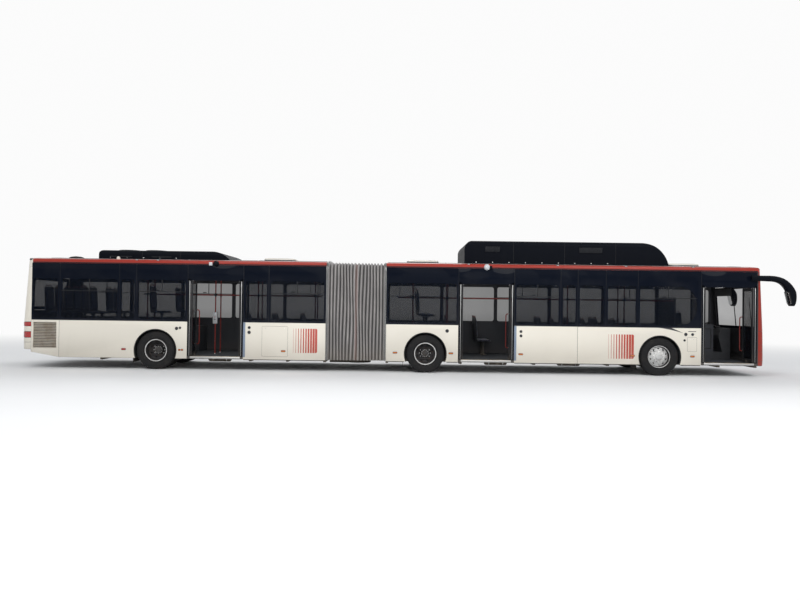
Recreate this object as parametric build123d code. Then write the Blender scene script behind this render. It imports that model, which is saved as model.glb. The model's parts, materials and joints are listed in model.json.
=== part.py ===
from build123d import *

import os
from math import atan, cos, degrees, hypot, pi, radians, sin, sqrt

# Low-floor articulated city bus with three doorways on its right side.
# Millimetres, X forward, Y to the bus's left, Z up from the road.

# Lengths along the bus; the stretch is 1 at the standard length
STANDARD_LENGTH = 18750
LENGTH = 18750
STRETCH = LENGTH / STANDARD_LENGTH
MIRROR_REACH = 600
FRONT_OVERHANG = 2700 * STRETCH
FRONT_WHEELBASE = 5875 * STRETCH
REAR_WHEELBASE = 6770 * STRETCH
PIVOT_BEHIND_AXLE = 1750
BELLOWS_LENGTH = 1510
NOSE_DEPTH = 241
TAIL_DEPTH = 290

FRONT_X = LENGTH / 2 - MIRROR_REACH / 2
REAR_X = FRONT_X - LENGTH
FRONT_AXLE_X = FRONT_X - FRONT_OVERHANG
MIDDLE_AXLE_X = FRONT_AXLE_X - FRONT_WHEELBASE
REAR_AXLE_X = MIDDLE_AXLE_X - REAR_WHEELBASE
PIVOT_X = MIDDLE_AXLE_X - PIVOT_BEHIND_AXLE
FRONT_CAR_X0 = PIVOT_X + BELLOWS_LENGTH / 2
REAR_CAR_X1 = PIVOT_X - BELLOWS_LENGTH / 2
NOSE_X0 = FRONT_X - NOSE_DEPTH
TAIL_X1 = REAR_X + TAIL_DEPTH

# Cross-section of the body
WIDTH = 2500
HALF = WIDTH / 2
WALL = 60
ROOF = 70
PANEL = 40
SKIRT_Z = 280
FLOOR_Z = 340
FLOOR = 50
DECK_Z = 1000
WAIST_Z = 1210
SILL_Z = 1260
WINDOW_TOP_Z = 2250
BAND_TOP_Z = 2640
ROOF_EDGE_Z = 2740
ROOF_CROWN_Z = 2830
ROOF_RADIUS = 120
INNER = HALF - WALL
GLASS = 8
GLASS_IN = HALF - GLASS
PANE_JOINT = 6
PILLAR = 90
SEAT_GAP = 0.3

# Rounded ends: height, lean back from the tip, bow of the face, corner radius
NOSE_SECTIONS = (
    (SKIRT_Z, 14, 80, 150),
    (430, 0, 80, 150),
    (1150, 12, 80, 150),
    (2900, 190, 25, 25),
)
TAIL_SECTIONS = (
    (SKIRT_Z, 20, 50, 180),
    (560, 0, 50, 180),
    (1150, 0, 50, 180),
    (2900, 150, 50, 110),
)
DOME_RADIUS = 230
SCREEN_Z0 = 1150
SCREEN_Z1 = 2540
SCREEN_HALF = 1120
SCREEN_LEDGE = 30
WIPER_Y = (-550, 250)
WIPER_BOSS = 26
WIPER_REACH = 880
MIRROR_FOOT_X = 380
MIRROR_FOOT_Z = 2482
MIRROR_FOOT = 12
MIRROR_ARM = 70
MIRROR_OUT = 250
MIRROR_WIDTH = 216
MIRROR_ROOT_Z = (2412, 2548)
MIRROR_PAD = (45, 40)
MIRROR_ROUND = (160, 60)
# Mirror housing's side view, three points an arc: back from the tip, height
MIRROR_BEND = (
    (MIRROR_REACH, 2548), (210, 2405), (15, 2150), (0, 2030), (25, 1860), (80, 1778), (150, 1805),
    (205, 2040), (243, 2175), (370, 2330), (540, 2398),
)
LAMP_POCKET_Y = (800, 1235)
LAMP_Z = (640, 800)
LAMP_Y = (872, 995)
LAMP_RADIUS = (50, 58)
LAMP_PROUD = 4
GRILLE_HALF = 500
GRILLE_Z = (412, 556)
GRILLE_SLOTS = 6
HATCH_GRILLE = (120, 860)
HATCH_GRILLE_Z = (740, 1148)
HATCH_SLOTS = 12
LOUVRE_X = (40, 650)
LOUVRE_Z = (500, 1165)
LOUVRE_SLATS = 17
SLAT = 4
SLAT_IN = 18
SLAT_TILT = 40
TAIL_WALL_Z0 = 465
TAIL_LAMP_Z = ((760, 910), (1045, 1150))
TAIL_LAMP_Y = (1040, 1260)
TAIL_LAMP_DEPTH = 150
SIGN_Y = 800
SIGN_Z = (2330, 2740)
REAR_WINDOW_HALF = 800
REAR_WINDOW_Z = (1500, 2250)
REAR_PANE = 110

# Wheels
STUB_RADIUS = 60
TYRE_RADIUS = 478.5
TYRE_WIDTH = 275
BEAD_HALF = 105
RIM_RADIUS = 286
RIM_WIDTH = 230
RIM_PLATE = 13
RIM_FACE = 150
RIM_BORE = 100
HUB_HALF = 112
FRONT_DISH = (50, 82)
TWIN_DISH = 12
# Turned outlines: radius, offset outward from the wheel's middle
FRONT_HUB = (
    (STUB_RADIUS, -20), (STUB_RADIUS, 70), (0, 70), (0, 128), (60, 122), (105, 98), (HUB_HALF, 60),
    (HUB_HALF, -20),
)
TWIN_HUB = (
    (STUB_RADIUS, -90), (STUB_RADIUS, 70), (0, 70), (0, 120), (70, 116), (105, 90), (HUB_HALF, 30),
    (HUB_HALF, -90),
)
HAND_HOLE = 19
HAND_HOLE_RING = 203
TRACK_OUTER = 1225
TWIN_SPACING = 310
BEARING = 0.5
AXLE_Z = TYRE_RADIUS
FRONT_WHEEL_Y = TRACK_OUTER - TYRE_WIDTH / 2
TWIN_Y = TRACK_OUTER - TYRE_WIDTH / 2 - TWIN_SPACING / 2
ARCH_RADIUS = 535

# Steering
KINGPIN_Y = 1000
KINGPIN_RADIUS = 20
KNUCKLE_RADIUS = 38
KNUCKLE_HALF = 110
FORK = 35
FORK_REACH = 130
UPRIGHT = 60
STEER_ARM = (190, 18, -100, -60)

# Wheel boxes
BOX_HALF = 552
BOX_TOP = 1030
BOX_SHEET = 12
STEER_BOX_Y = 640
TWIN_BOX_Y = 480

# Underframe
NOSE_FLOOR = (90, 1000)
DECK_FROM_AXLE = 900
FRAME_BEHIND = 500
RAIL_Y = 380
RAIL_WIDTH = 80
RAIL_Z0 = 215
SLAB_Z0 = FLOOR_Z - FLOOR
CROSS_WIDTH = 60
CROSS_PITCH = 930
TAIL_RAIL_Z = (390, 440)
TOW_RADIUS = 24
TOW_BORE = 16
TOW_DEPTH = 120
TOW_Z = 245
BEAM_Z0 = 130
BEAM_Z1 = 200
BEAM_HALF = 50
PORTAL_Y = 560
PORTAL = (55, 85)
DRIVE_Y = (60, 300)
DRIVE_HALF = 150
DRIVE_NOSE = (45, 320)
JACK_PAD = (120, 10)
JACK_FROM_AXLE = 900
ENGINE_FROM_AXLE = 1735
ENGINE_Y = (-450, 850)
ENGINE_TOP = 930

# Doorways and their inward gliding leaves
DOOR_WIDTH = 1400
DOOR_TOP_Z = 2240
DOOR_TO_NOSE = 25
DOOR_FROM_AXLE = (1520, 1496)
JAMB = 72
JAMB_SKIN = 18
POST_IN = 40
POST_Y = -1206
POST_RADIUS = 20
POST_PIN = 12
ARM = 318
ARM_WIDTH = 32
ARM_BOSS = 22
ARM_PLATE = 12
ARM_Z0 = FLOOR_Z + 6
LEAF_Z0 = FLOOR_Z + 25
LEAF_Z1 = DOOR_TOP_Z - 5
TOP_ARM_Z = DOOR_TOP_Z
LEAF_NEAR = 280
LEAF_FAR = 339
LEAF_IN = 8
LEAF_OUT = 40
OPEN_ANGLE = 83
HINGE_PIN = 8
ROLLER = 12
RAIL_GAP = 3
RAIL_SHEET = 6
TRACK_Z0 = 2262
TRACK_Z1 = 2306

# Doorway centres from front to rear
DOOR_X = (
    NOSE_X0 - DOOR_TO_NOSE - DOOR_WIDTH / 2,
    MIDDLE_AXLE_X + DOOR_FROM_AXLE[0],
    REAR_AXLE_X + DOOR_FROM_AXLE[1],
)

# Joints between window panes, from an axle and grown with the bus, then the panes: start, end
REAR_JOINTS = [REAR_AXLE_X + gap * STRETCH for gap in (-2414, -921, -493, 2829)]
FRONT_JOINTS = [MIDDLE_AXLE_X + gap * STRETCH for gap in (3383, 3811, 4516, 5321)]
DOOR_EDGES = [(x - DOOR_WIDTH / 2, x + DOOR_WIDTH / 2) for x in DOOR_X]
REAR_RIGHT_PANES = (
    (TAIL_X1, REAR_JOINTS[0]),
    (REAR_JOINTS[0], REAR_JOINTS[1]),
    (REAR_JOINTS[1], REAR_JOINTS[2]),
    (REAR_JOINTS[2], DOOR_EDGES[2][0]),
    (DOOR_EDGES[2][1], REAR_JOINTS[3]),
    (REAR_JOINTS[3], REAR_CAR_X1),
)
FRONT_RIGHT_PANES = (
    (FRONT_CAR_X0, DOOR_EDGES[1][0]),
    (DOOR_EDGES[1][1], FRONT_JOINTS[0]),
    (FRONT_JOINTS[0], FRONT_JOINTS[1]),
    (FRONT_JOINTS[1], FRONT_JOINTS[2]),
    (FRONT_JOINTS[2], FRONT_JOINTS[3]),
    (FRONT_JOINTS[3], DOOR_EDGES[0][0]),
)
REAR_LEFT_BAYS = 5
FRONT_LEFT_BAYS = 6

# Roof equipment
TANK_X = (MIDDLE_AXLE_X + 980 * STRETCH, MIDDLE_AXLE_X + 6202 * STRETCH)
TANK_TOP_Z = 3370
TANK_HALF = 960
TANK_END_RADIUS = 226
TANK_SLOPE = 715
COOLER_X = (REAR_AXLE_X - 1600 * STRETCH, REAR_AXLE_X + 1772 * STRETCH)
COOLER_TOP_Z = 3010
COOLER_HALF = 930
COOLER_END_RADIUS = 90
COOLER_SLOPE = 520
FAIRING_ROUND = 120
FAIRING_SKIN = 30
FAN_X = (620, 1320)
FAN_Y = 420
FAN_RADIUS = (270, 300)
FAN_PROUD = 24
HATCH = (800, 760, 45)
HATCH_ROUND = 60
FRONT_HATCHES = (FRONT_CAR_X0 + 945, NOSE_X0 - 1484)
REAR_HATCHES = (REAR_CAR_X1 - 1345,)

# Articulation
DISC_RADIUS = 740
SLEW_RADIUS = 330
SLEW_PIN = 120
SLEW_Z = (150, 212, 280)
SLEW_ARM = 250
SLEW_ARM_Y = (150, 230)
PLEATS = 17
PLEAT_DEPTH = 75
BELLOWS_SKIN = 5
BELLOWS_Z0 = 285
BELLOWS_Z1 = 2765
BELLOWS_CORNER = 190
BELLOWS_HALF = HALF - 5

# Seats: cushion, back, leg and its foot plate
SEAT_WIDTH = 430
SEAT_DEPTH = 440
SEAT_HEIGHT = 430
SEAT_PAD = 60
SEAT_LEAN = 55
BACK_HEIGHT = 620
LEG = 60
FOOT_PLATE = (160, 8)
POLE_RADIUS = 16
POLE_Y = 250
HIGH_RAIL_Z = 1900
TICKET_BOX = (90, 70, 280)
TICKET_BOX_Z = 1290
PLATFORM = 200
CAB_Y = 640
CAB_Y0 = 60
CAB_BACK = (1540, 1500, 500)
CAB_WALL_Z = 2000
GATE = 40
GATE_Z = 1250
WHEEL = (225, 14, 1190)
WHEEL_TILT = 35
# Dashboard's outline: back from the nose, height
DASH = ((20, 1180), (200, 1180), (270, 1130), (330, 980), (330, 900), (240, FLOOR_Z + PLATFORM))
HANDLE_RADIUS = 13
HANDLE_OUT = 60
HANDLE_BEND = 45
HANDLE_Z = (620, 1500)
LEAF_STILE = 48
LEAF_FOOT = 90
LEAF_HEAD = 80
LUG = (20, 12, 40)
GUIDE_LUG = 15


def block(x0, x1, y0, y1, z0, z1):
    """A box between two opposite corners."""
    centre = Pos((x0 + x1) / 2, (y0 + y1) / 2, (z0 + z1) / 2)
    return centre * Box(abs(x1 - x0), abs(y1 - y0), abs(z1 - z0))


def post(radius, x, y, z0, z1):
    """A round bar standing on end."""
    return Pos(x, y, (z0 + z1) / 2) * Cylinder(radius, z1 - z0)


def cross_bar(radius, x, y0, y1, z):
    """A round bar lying across the bus."""
    return Pos(x, (y0 + y1) / 2, z) * Rot(90, 0, 0) * Cylinder(radius, abs(y1 - y0))


def long_bar(radius, x0, x1, y, z):
    """A round bar lying along the bus."""
    return Pos((x0 + x1) / 2, y, z) * Rot(0, 90, 0) * Cylinder(radius, abs(x1 - x0))


def fused(pieces):
    """One solid from pieces that touch or overlap."""
    return pieces[0] + pieces[1:]


def apart(pieces):
    """Pieces that share a node without touching."""
    return Compound(children=[solid for piece in pieces for solid in piece.solids()])


def roof_drop(y):
    """How far the crowned roof has fallen at a distance from the middle."""
    return (ROOF_CROWN_Z - ROOF_EDGE_Z) * (y / HALF) ** 2


# Body forms
def body_section(inset, roof_inset):
    """Cross-section of the body, set inside its outer skin."""
    half = HALF - inset
    crown = ROOF_CROWN_Z - roof_inset
    edge = ROOF_EDGE_Z - roof_inset
    walls = Polyline((-half, edge), (-half, SKIRT_Z), (half, SKIRT_Z), (half, edge))
    face = make_face([*walls.edges(), ThreePointArc((half, edge), (0, crown), (-half, edge))])
    corners = [v for v in face.vertices() if v.Y > edge - 1]
    return Plane.YZ * fillet(corners, ROOF_RADIUS - inset / 2)


def end_plan(z, tip, way, bow, corner, inset):
    """Plan outline at one height, bowed and rounded at the bus's end."""
    half = HALF - inset
    tip_x = tip - way * inset
    shoulder = tip_x - way * bow
    sides = Polyline((shoulder, -half), (PIVOT_X, -half), (PIVOT_X, half), (shoulder, half))
    bowed = ThreePointArc((shoulder, half), (tip_x, 0), (shoulder, -half))
    face = make_face([*sides.edges(), bowed])
    corners = [v for v in face.vertices() if abs(v.X - shoulder) < 1]
    return Plane.XY.offset(z) * fillet(corners, corner - inset / 5)


def end_profile(tip, way, lean_low, lean_high, inset, roof_inset):
    """Side view that rounds the roof down to the end."""
    crown = ROOF_CROWN_Z - roof_inset
    margin = way * 2
    low = tip + way * DOME_RADIUS
    front_low = (tip + way * (2 - lean_low - inset), SCREEN_Z0)
    front_high = (tip + margin - way * (lean_high + inset), crown)
    outline = Polyline(
        (PIVOT_X, 0), (low, 0), (low, SCREEN_Z0), front_low, front_high, (PIVOT_X, crown), close=True
    )
    face = make_face(outline)
    corner = [v for v in face.vertices() if v.Y > crown - 1 and abs(v.X - front_high[0]) < 1]
    return Plane.XZ * fillet(corner, DOME_RADIUS)


def end_depth(sections, y, z):
    """How far behind the tip the face of a rounded end lies, at a place across it and a height."""
    pairs = [(low, high) for low, high in zip(sections, sections[1:]) if z <= high[0]] or [sections[-2:]]
    low, high = pairs[0]
    share = (z - low[0]) / (high[0] - low[0])
    depths = []
    for _, lean, bow, _ in (low, high):
        radius = (HALF ** 2 + bow ** 2) / (2 * bow)
        depths.append(lean + radius - sqrt(radius ** 2 - y ** 2))
    return depths[0] + (depths[1] - depths[0]) * share


def car_form(way, inset, roof_inset):
    """Solid outline of the front (way 1) or rear (way -1) car, set inside its skin."""
    tip = FRONT_X if way > 0 else REAR_X
    start = FRONT_CAR_X0 if way > 0 else REAR_CAR_X1
    sections = NOSE_SECTIONS if way > 0 else TAIL_SECTIONS
    plans = [
        end_plan(z, tip - way * lean, way, bow, corner, inset) for z, lean, bow, corner in sections
    ]
    plan = loft([face.faces()[0] for face in plans], ruled=True)
    section = Pos(start, 0, 0) * body_section(inset, roof_inset)
    length = extrude(section, way * (abs(tip - start) + 10))
    profile = end_profile(
        tip, way, end_depth(sections, 0, SCREEN_Z0), end_depth(sections, 0, ROOF_CROWN_Z), inset, roof_inset
    )
    side = extrude(profile, HALF + 10, both=True)
    return length & plan & side


def roof_shell(form, inside, end_x, way):
    """The roof's share of a car's shell, taken lower at the rounded end."""
    far = end_x + way * 1000
    start = PIVOT_X
    top = ROOF_CROWN_Z + 50
    cut = block(start, end_x, -HALF - 5, HALF + 5, BAND_TOP_Z, top)
    cut += block(end_x, far, -HALF - 5, HALF + 5, SCREEN_Z1, top)
    return (form - inside) & cut


# Sides
def arch_cut(axle_x):
    """Opening for a wheel in the skirt of one or both sides."""
    return cross_bar(ARCH_RADIUS, axle_x, -HALF - 10, HALF + 10, AXLE_Z)


def doorway(x):
    """Everything that a doorway takes out of the right side wall."""
    x0 = x - DOOR_WIDTH / 2
    x1 = x + DOOR_WIDTH / 2
    skin_y = -HALF + JAMB_SKIN
    inside = block(x0, x1, skin_y, -INNER + 10, FLOOR_Z, TRACK_Z1)
    through = block(x0 + JAMB, x1 - JAMB, -HALF - 10, skin_y + 1, FLOOR_Z, DOOR_TOP_Z + 1)
    return inside + through


def door_track(x):
    """Roller channel and post bearings that stay on the wall over one doorway."""
    y0 = POST_Y - ROLLER - RAIL_GAP
    y1 = POST_Y + ROLLER + RAIL_GAP
    inner = DOOR_WIDTH / 2 - POST_IN - POST_RADIUS - 12
    channel = block(x - inner, x + inner, y0 - 5, y1 + RAIL_SHEET, TRACK_Z0, TRACK_Z1)
    slot = block(x - inner - 1, x + inner + 1, y0, y1, TRACK_Z0 - 1, TRACK_Z1 - RAIL_SHEET)
    return channel - slot


def post_bearings(x):
    """Holes for the ends of both door posts of one doorway."""
    holes = []
    for way in (-1, 1):
        px = x + way * (DOOR_WIDTH / 2 - POST_IN)
        holes.append(post(POST_PIN + BEARING, px, POST_Y, FLOOR_Z - 30, FLOOR_Z + 1))
        holes.append(post(POST_PIN + BEARING, px, POST_Y, TRACK_Z1 - 1, TRACK_Z1 + 30))
    return holes


def side_wall(x0, x1, side, panes, arches, doors):
    """One side of one car, with its windows, wheel arches and doorways cut."""
    wall = block(x0, x1, side * INNER, side * HALF, SKIRT_Z, BAND_TOP_Z)
    for start, end in panes:
        wall -= block(start, end, side * GLASS_IN, side * (HALF + 1), WAIST_Z, BAND_TOP_Z)
        wall -= block(
            start + PILLAR / 2, end - PILLAR / 2, side * (INNER - 1), side * HALF, SILL_Z, WINDOW_TOP_Z
        )
    for axle in arches:
        wall -= arch_cut(axle)
    for x in doors:
        wall -= doorway(x)
        wall += door_track(x)
        wall -= post_bearings(x)
    return wall


def tail_rise():
    """Wedge that lifts the skirt behind the rear axle."""
    start = REAR_AXLE_X - 2400 * STRETCH
    outline = Polyline((start, SKIRT_Z), (REAR_X - 10, 460), (REAR_X - 10, 200), (start, 200), close=True)
    return extrude(Plane.XZ * make_face(outline), HALF + 10, both=True)


def vent(wall):
    """Side wall behind the rear axle with its slatted vent."""
    x0, x1 = (TAIL_X1 + gap for gap in LOUVRE_X)
    z0, z1 = LOUVRE_Z
    wall -= block(x0, x1, -HALF - 10, -INNER + 10, z0, z1)
    pitch = (z1 - z0) / LOUVRE_SLATS
    slats = []
    for i in range(LOUVRE_SLATS):
        z = z0 + pitch * (i + 0.5)
        turn = Pos((x0 + x1) / 2, -HALF + SLAT_IN, z) * Rot(-SLAT_TILT, 0, 0)
        slats.append(turn * Box(x1 - x0 + 2, pitch, SLAT))
    return wall + slats


def bays(x0, x1, count):
    """Equal window panes along a side without doors."""
    step = (x1 - x0) / count
    return [(x0 + step * i, x0 + step * (i + 1)) for i in range(count)]


def glazing(side, panes):
    """Bonded panes of one side, parted by narrow joints."""
    gap = PANE_JOINT / 2
    return [
        block(x0 + gap, x1 - gap, side * GLASS_IN, side * HALF, WAIST_Z + 2, BAND_TOP_Z - 2)
        for x0, x1 in panes
    ]


# Floor and frame
def wheel_box(axle_x, side, inner_y):
    """Sheet box that keeps a wheel out of the cabin, open below and to the arch."""
    out_y = side * INNER
    in_y = side * inner_y
    sheet = side * BOX_SHEET
    shell = block(
        axle_x - BOX_HALF - BOX_SHEET, axle_x + BOX_HALF + BOX_SHEET,
        in_y - sheet, out_y, SLAB_Z0, BOX_TOP + BOX_SHEET,
    )
    return shell - block(axle_x - BOX_HALF, axle_x + BOX_HALF, in_y, out_y, SLAB_Z0 - 1, BOX_TOP)


def floor_slab(x0, x1, axles):
    """Floor of one car with its wheel boxes."""
    slab = block(x0, x1, -INNER, INNER, SLAB_Z0, FLOOR_Z)
    for axle, inner_y in axles:
        for side in (-1, 1):
            slab -= block(
                axle - BOX_HALF, axle + BOX_HALF, side * inner_y, side * INNER, SLAB_Z0 - 1, FLOOR_Z + 1
            )
            slab += wheel_box(axle, side, inner_y)
    return slab


def underframe(x0, x1, axles):
    """Two rails with cross-members that reach out to the side walls."""
    pieces = [
        block(x0, x1, side * (RAIL_Y - RAIL_WIDTH / 2), side * (RAIL_Y + RAIL_WIDTH / 2), RAIL_Z0, SLAB_Z0)
        for side in (-1, 1)
    ]
    count = int((x1 - x0) // CROSS_PITCH)
    step = (x1 - x0 - CROSS_WIDTH) / count
    for i in range(count + 1):
        x = x0 + CROSS_WIDTH / 2 + step * i
        near = any(abs(x - axle) < BOX_HALF + CROSS_WIDTH for axle in axles)
        reach = RAIL_Y if near else INNER
        pieces.append(
            block(x - CROSS_WIDTH / 2, x + CROSS_WIDTH / 2, -reach, reach, RAIL_Z0 + 15, SLAB_Z0)
        )
    return fused(pieces)


def tow_socket(x0, x1, y, z):
    """Round bar that ends in a blind socket for a towing eye."""
    way = 1 if x1 > x0 else -1
    socket = long_bar(TOW_BORE, x1 - way * TOW_DEPTH, x1 + way, y, z)
    return long_bar(TOW_RADIUS, x0, x1, y, z), socket


def jack_pads(x):
    """Pads under both rails for a workshop jack."""
    half = JACK_PAD[0] / 2
    y = RAIL_WIDTH / 2
    return [
        block(x - half, x + half, side * RAIL_Y - y, side * RAIL_Y + y, RAIL_Z0 - JACK_PAD[1], RAIL_Z0)
        for side in (-1, 1)
    ]


def front_frame():
    """Front car's frame with its jack pads and towing socket."""
    frame = underframe(FRONT_CAR_X0, NOSE_X0, (FRONT_AXLE_X, MIDDLE_AXLE_X))
    pads = jack_pads(FRONT_AXLE_X - JACK_FROM_AXLE) + jack_pads(MIDDLE_AXLE_X + JACK_FROM_AXLE)
    bar, socket = tow_socket(NOSE_X0 - 10, FRONT_X - 40, -RAIL_Y, TOW_Z)
    return frame + pads + bar - socket


def rear_frame(x0):
    """Rear car's frame, raised behind the axle to carry the engine, with its towing socket."""
    low, high = TAIL_RAIL_Z
    frame = underframe(x0, REAR_CAR_X1, (REAR_AXLE_X,))
    for side in (-1, 1):
        y0 = side * (RAIL_Y - RAIL_WIDTH / 2)
        y1 = side * (RAIL_Y + RAIL_WIDTH / 2)
        frame += block(TAIL_X1, x0 + RAIL_WIDTH, y0, y1, low, high)
        frame += block(x0, x0 + RAIL_WIDTH, y0, y1, RAIL_Z0, high)
    for x in (TAIL_X1, x0):
        frame += block(x, x + CROSS_WIDTH, -INNER, INNER, low, high)
    frame += jack_pads(REAR_AXLE_X + JACK_FROM_AXLE)
    bar, socket = tow_socket(TAIL_X1 + 10, REAR_X + 40, RAIL_Y, (low + high) / 2)
    return frame + bar - socket


# Axles and wheels
def seat_blocks(axle_x):
    """Pads between an axle beam and the rails above it."""
    return [
        block(
            axle_x - BEAM_HALF, axle_x + BEAM_HALF,
            side * (RAIL_Y - RAIL_WIDTH / 2), side * (RAIL_Y + RAIL_WIDTH / 2), BEAM_Z1, RAIL_Z0,
        )
        for side in (-1, 1)
    ]


def steered_axle(axle_x):
    """Dropped beam whose forks hold the two knuckles."""
    upright = KINGPIN_Y - FORK_REACH
    lug_top = AXLE_Z + KNUCKLE_HALF + BEARING + FORK
    lug_low = AXLE_Z - KNUCKLE_HALF - BEARING
    pieces = [block(axle_x - BEAM_HALF, axle_x + BEAM_HALF, -upright, upright, BEAM_Z0, BEAM_Z1)]
    for side in (-1, 1):
        y0, y1 = side * (upright - UPRIGHT), side * upright
        pieces.append(block(axle_x - BEAM_HALF, axle_x + BEAM_HALF, y0, y1, BEAM_Z0, lug_top))
        for z in (lug_top - FORK, lug_low - FORK):
            pieces.append(
                block(axle_x - 30, axle_x + 30, side * upright, side * KINGPIN_Y, z, z + FORK)
            )
            pieces.append(post(KNUCKLE_RADIUS, axle_x, side * KINGPIN_Y, z, z + FORK))
    beam = fused(pieces + seat_blocks(axle_x))
    for side in (-1, 1):
        beam -= post(KINGPIN_RADIUS + BEARING, axle_x, side * KINGPIN_Y, 0, 2 * AXLE_Z)
    return beam


def portal_axle(axle_x, driven):
    """Low beam with upright ends that carry the twin wheels' stubs."""
    end_y = PORTAL_Y
    pieces = [block(axle_x - BEAM_HALF, axle_x + BEAM_HALF, -end_y, end_y, BEAM_Z0, BEAM_Z1)]
    for side in (-1, 1):
        y0, y1 = side * (end_y - PORTAL[0]), side * end_y
        x0, x1 = axle_x - PORTAL[1], axle_x + PORTAL[1]
        pieces.append(block(x0, x1, y0, y1, BEAM_Z0, AXLE_Z) + cross_bar(PORTAL[1], axle_x, y0, y1, AXLE_Z))
        pieces.append(
            cross_bar(STUB_RADIUS - BEARING, axle_x, side * (end_y - 5), side * (TWIN_Y + 60), AXLE_Z)
        )
    if driven:
        y0, y1 = DRIVE_Y
        radius = DRIVE_NOSE[0]
        pieces.append(block(axle_x - DRIVE_HALF, axle_x + DRIVE_HALF, y0, y1, BEAM_Z0, RAIL_Z0))
        pieces.append(long_bar(radius, axle_x - DRIVE_NOSE[1], axle_x, (y0 + y1) / 2, BEAM_Z0 + radius))
    return fused(pieces + seat_blocks(axle_x))


def knuckle(side):
    """Steering knuckle: kingpin boss, wheel stub and steering arm."""
    y = side * KINGPIN_Y
    boss = post(KNUCKLE_RADIUS, FRONT_AXLE_X, y, AXLE_Z - KNUCKLE_HALF, AXLE_Z + KNUCKLE_HALF)
    reach = KNUCKLE_HALF + BEARING + FORK
    pin = post(KINGPIN_RADIUS, FRONT_AXLE_X, y, AXLE_Z - reach, AXLE_Z + reach)
    stub = cross_bar(STUB_RADIUS - BEARING, FRONT_AXLE_X, y, side * (FRONT_WHEEL_Y + 60), AXLE_Z)
    length, half, z0, z1 = STEER_ARM
    arm = block(FRONT_AXLE_X - length, FRONT_AXLE_X, y - half, y + half, AXLE_Z + z0, AXLE_Z + z1)
    return boss + [pin, stub, arm]


def ring(profile, x, y, side):
    """Turn a (radius, offset) outline about a wheel's axle."""
    face = make_face(Polyline(*profile, close=True))
    turned = revolve(Plane.XY * face, Axis.Y)
    if side < 0:
        turned = mirror(turned, Plane.XZ)
    return Pos(x, y, AXLE_Z) * turned


def tyre(x, y, side):
    """Road tyre with bulged walls and square shoulders."""
    half = TYRE_WIDTH / 2
    bead = RIM_RADIUS + SEAT_GAP
    wall = [(bead, BEAD_HALF), (bead + 60, half), (TYRE_RADIUS - 55, half - 3), (TYRE_RADIUS - 6, half - 27)]
    profile = [(r, -offset) for r, offset in wall] + [(TYRE_RADIUS, 0)] + wall[::-1]
    return ring(profile, x, y, side)


def barrel(low, high, plate, dish):
    """Wheel rim from edge to edge with a plate that dishes to the hub."""
    inner = RIM_RADIUS - RIM_PLATE
    return (
        (RIM_RADIUS, low), (RIM_RADIUS, high), (inner, high), (inner, plate + RIM_PLATE),
        (RIM_FACE, dish + RIM_PLATE), (RIM_BORE, dish + RIM_PLATE), (RIM_BORE, dish), (RIM_FACE, dish),
        (inner, plate), (inner, low),
    )


def hand_holes(axle_x, side, count):
    """Round holes through a wheel's plate."""
    holes = []
    for i in range(count):
        turn = 2 * pi * (i + 0.5) / count
        x = axle_x + HAND_HOLE_RING * cos(turn)
        z = AXLE_Z + HAND_HOLE_RING * sin(turn)
        holes.append(cross_bar(HAND_HOLE, x, 0, side * HALF, z))
    return holes


def front_rim(side):
    """Single steel wheel with a domed hub."""
    half = RIM_WIDTH / 2
    y = side * FRONT_WHEEL_Y
    wheel = ring(barrel(-half, half, *FRONT_DISH), FRONT_AXLE_X, y, side)
    return wheel - hand_holes(FRONT_AXLE_X, side, 10) + ring(FRONT_HUB, FRONT_AXLE_X, y, side)


def twin_rim(axle_x, side):
    """Two dished wheels on one hub."""
    y = side * TWIN_Y
    half = RIM_WIDTH / 2
    near = TWIN_SPACING / 2 - half
    far = TWIN_SPACING / 2 + half
    outer = barrel(near, far, near + TWIN_DISH, 0)
    inner = tuple((r, -offset) for r, offset in outer)
    wheels = ring(outer, axle_x, y, side) + ring(inner, axle_x, y, side) + ring(TWIN_HUB, axle_x, y, side)
    return wheels - hand_holes(axle_x, side, 8)


# Doors
def along(point, direction, distance):
    """A point some way from another along a direction."""
    return (point[0] + direction[0] * distance, point[1] + direction[1] * distance)


def door_frame(x):
    """Post's pivot, hinge, and the arm's and leaf's directions in plan, of a doorway's open rear leaf."""
    angle = radians(OPEN_ANGLE)
    pivot = (x - DOOR_WIDTH / 2 + POST_IN, POST_Y)
    arm = (cos(angle), sin(angle))
    free = (cos(angle), -sin(angle))
    out = (-sin(angle), -cos(angle))
    return pivot, along(pivot, arm, ARM), arm, free, out


def plate(corners, z0, z1):
    """A flat plate from its corners in plan."""
    face = make_face(Polyline(*corners, close=True))
    return Pos(0, 0, z0) * extrude(face, z1 - z0)


def leaf_plate(hinge, free, out, near, far, n0, n1, z0, z1):
    """A slab of a door leaf, given along and across it from its hinge point."""
    ends = ((near, n0), (far, n0), (far, n1), (near, n1))
    return plate([along(along(hinge, free, a), out, n) for a, n in ends], z0, z1)


def door_post(x):
    """Turning post with the two arms that carry the rear leaf."""
    pivot, hinge, arm, _, _ = door_frame(x)
    pieces = [
        post(POST_RADIUS, *pivot, ARM_Z0 - 4, TRACK_Z1 - 4),
        post(POST_PIN, *pivot, FLOOR_Z - 26, TRACK_Z1 + 26),
    ]
    across = (-arm[1], arm[0])
    for z in (ARM_Z0, TOP_ARM_Z):
        width = ARM_WIDTH / 2
        corners = [
            along(along(pivot, arm, a), across, w)
            for a, w in ((0, -width), (ARM, -width), (ARM, width), (0, width))
        ]
        pieces.append(plate(corners, z, z + ARM_PLATE))
        pieces.append(post(ARM_BOSS, *hinge, z, z + ARM_PLATE))
    return fused(pieces) - post(HINGE_PIN + BEARING, *hinge, 0, DOOR_TOP_Z + 100)


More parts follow.
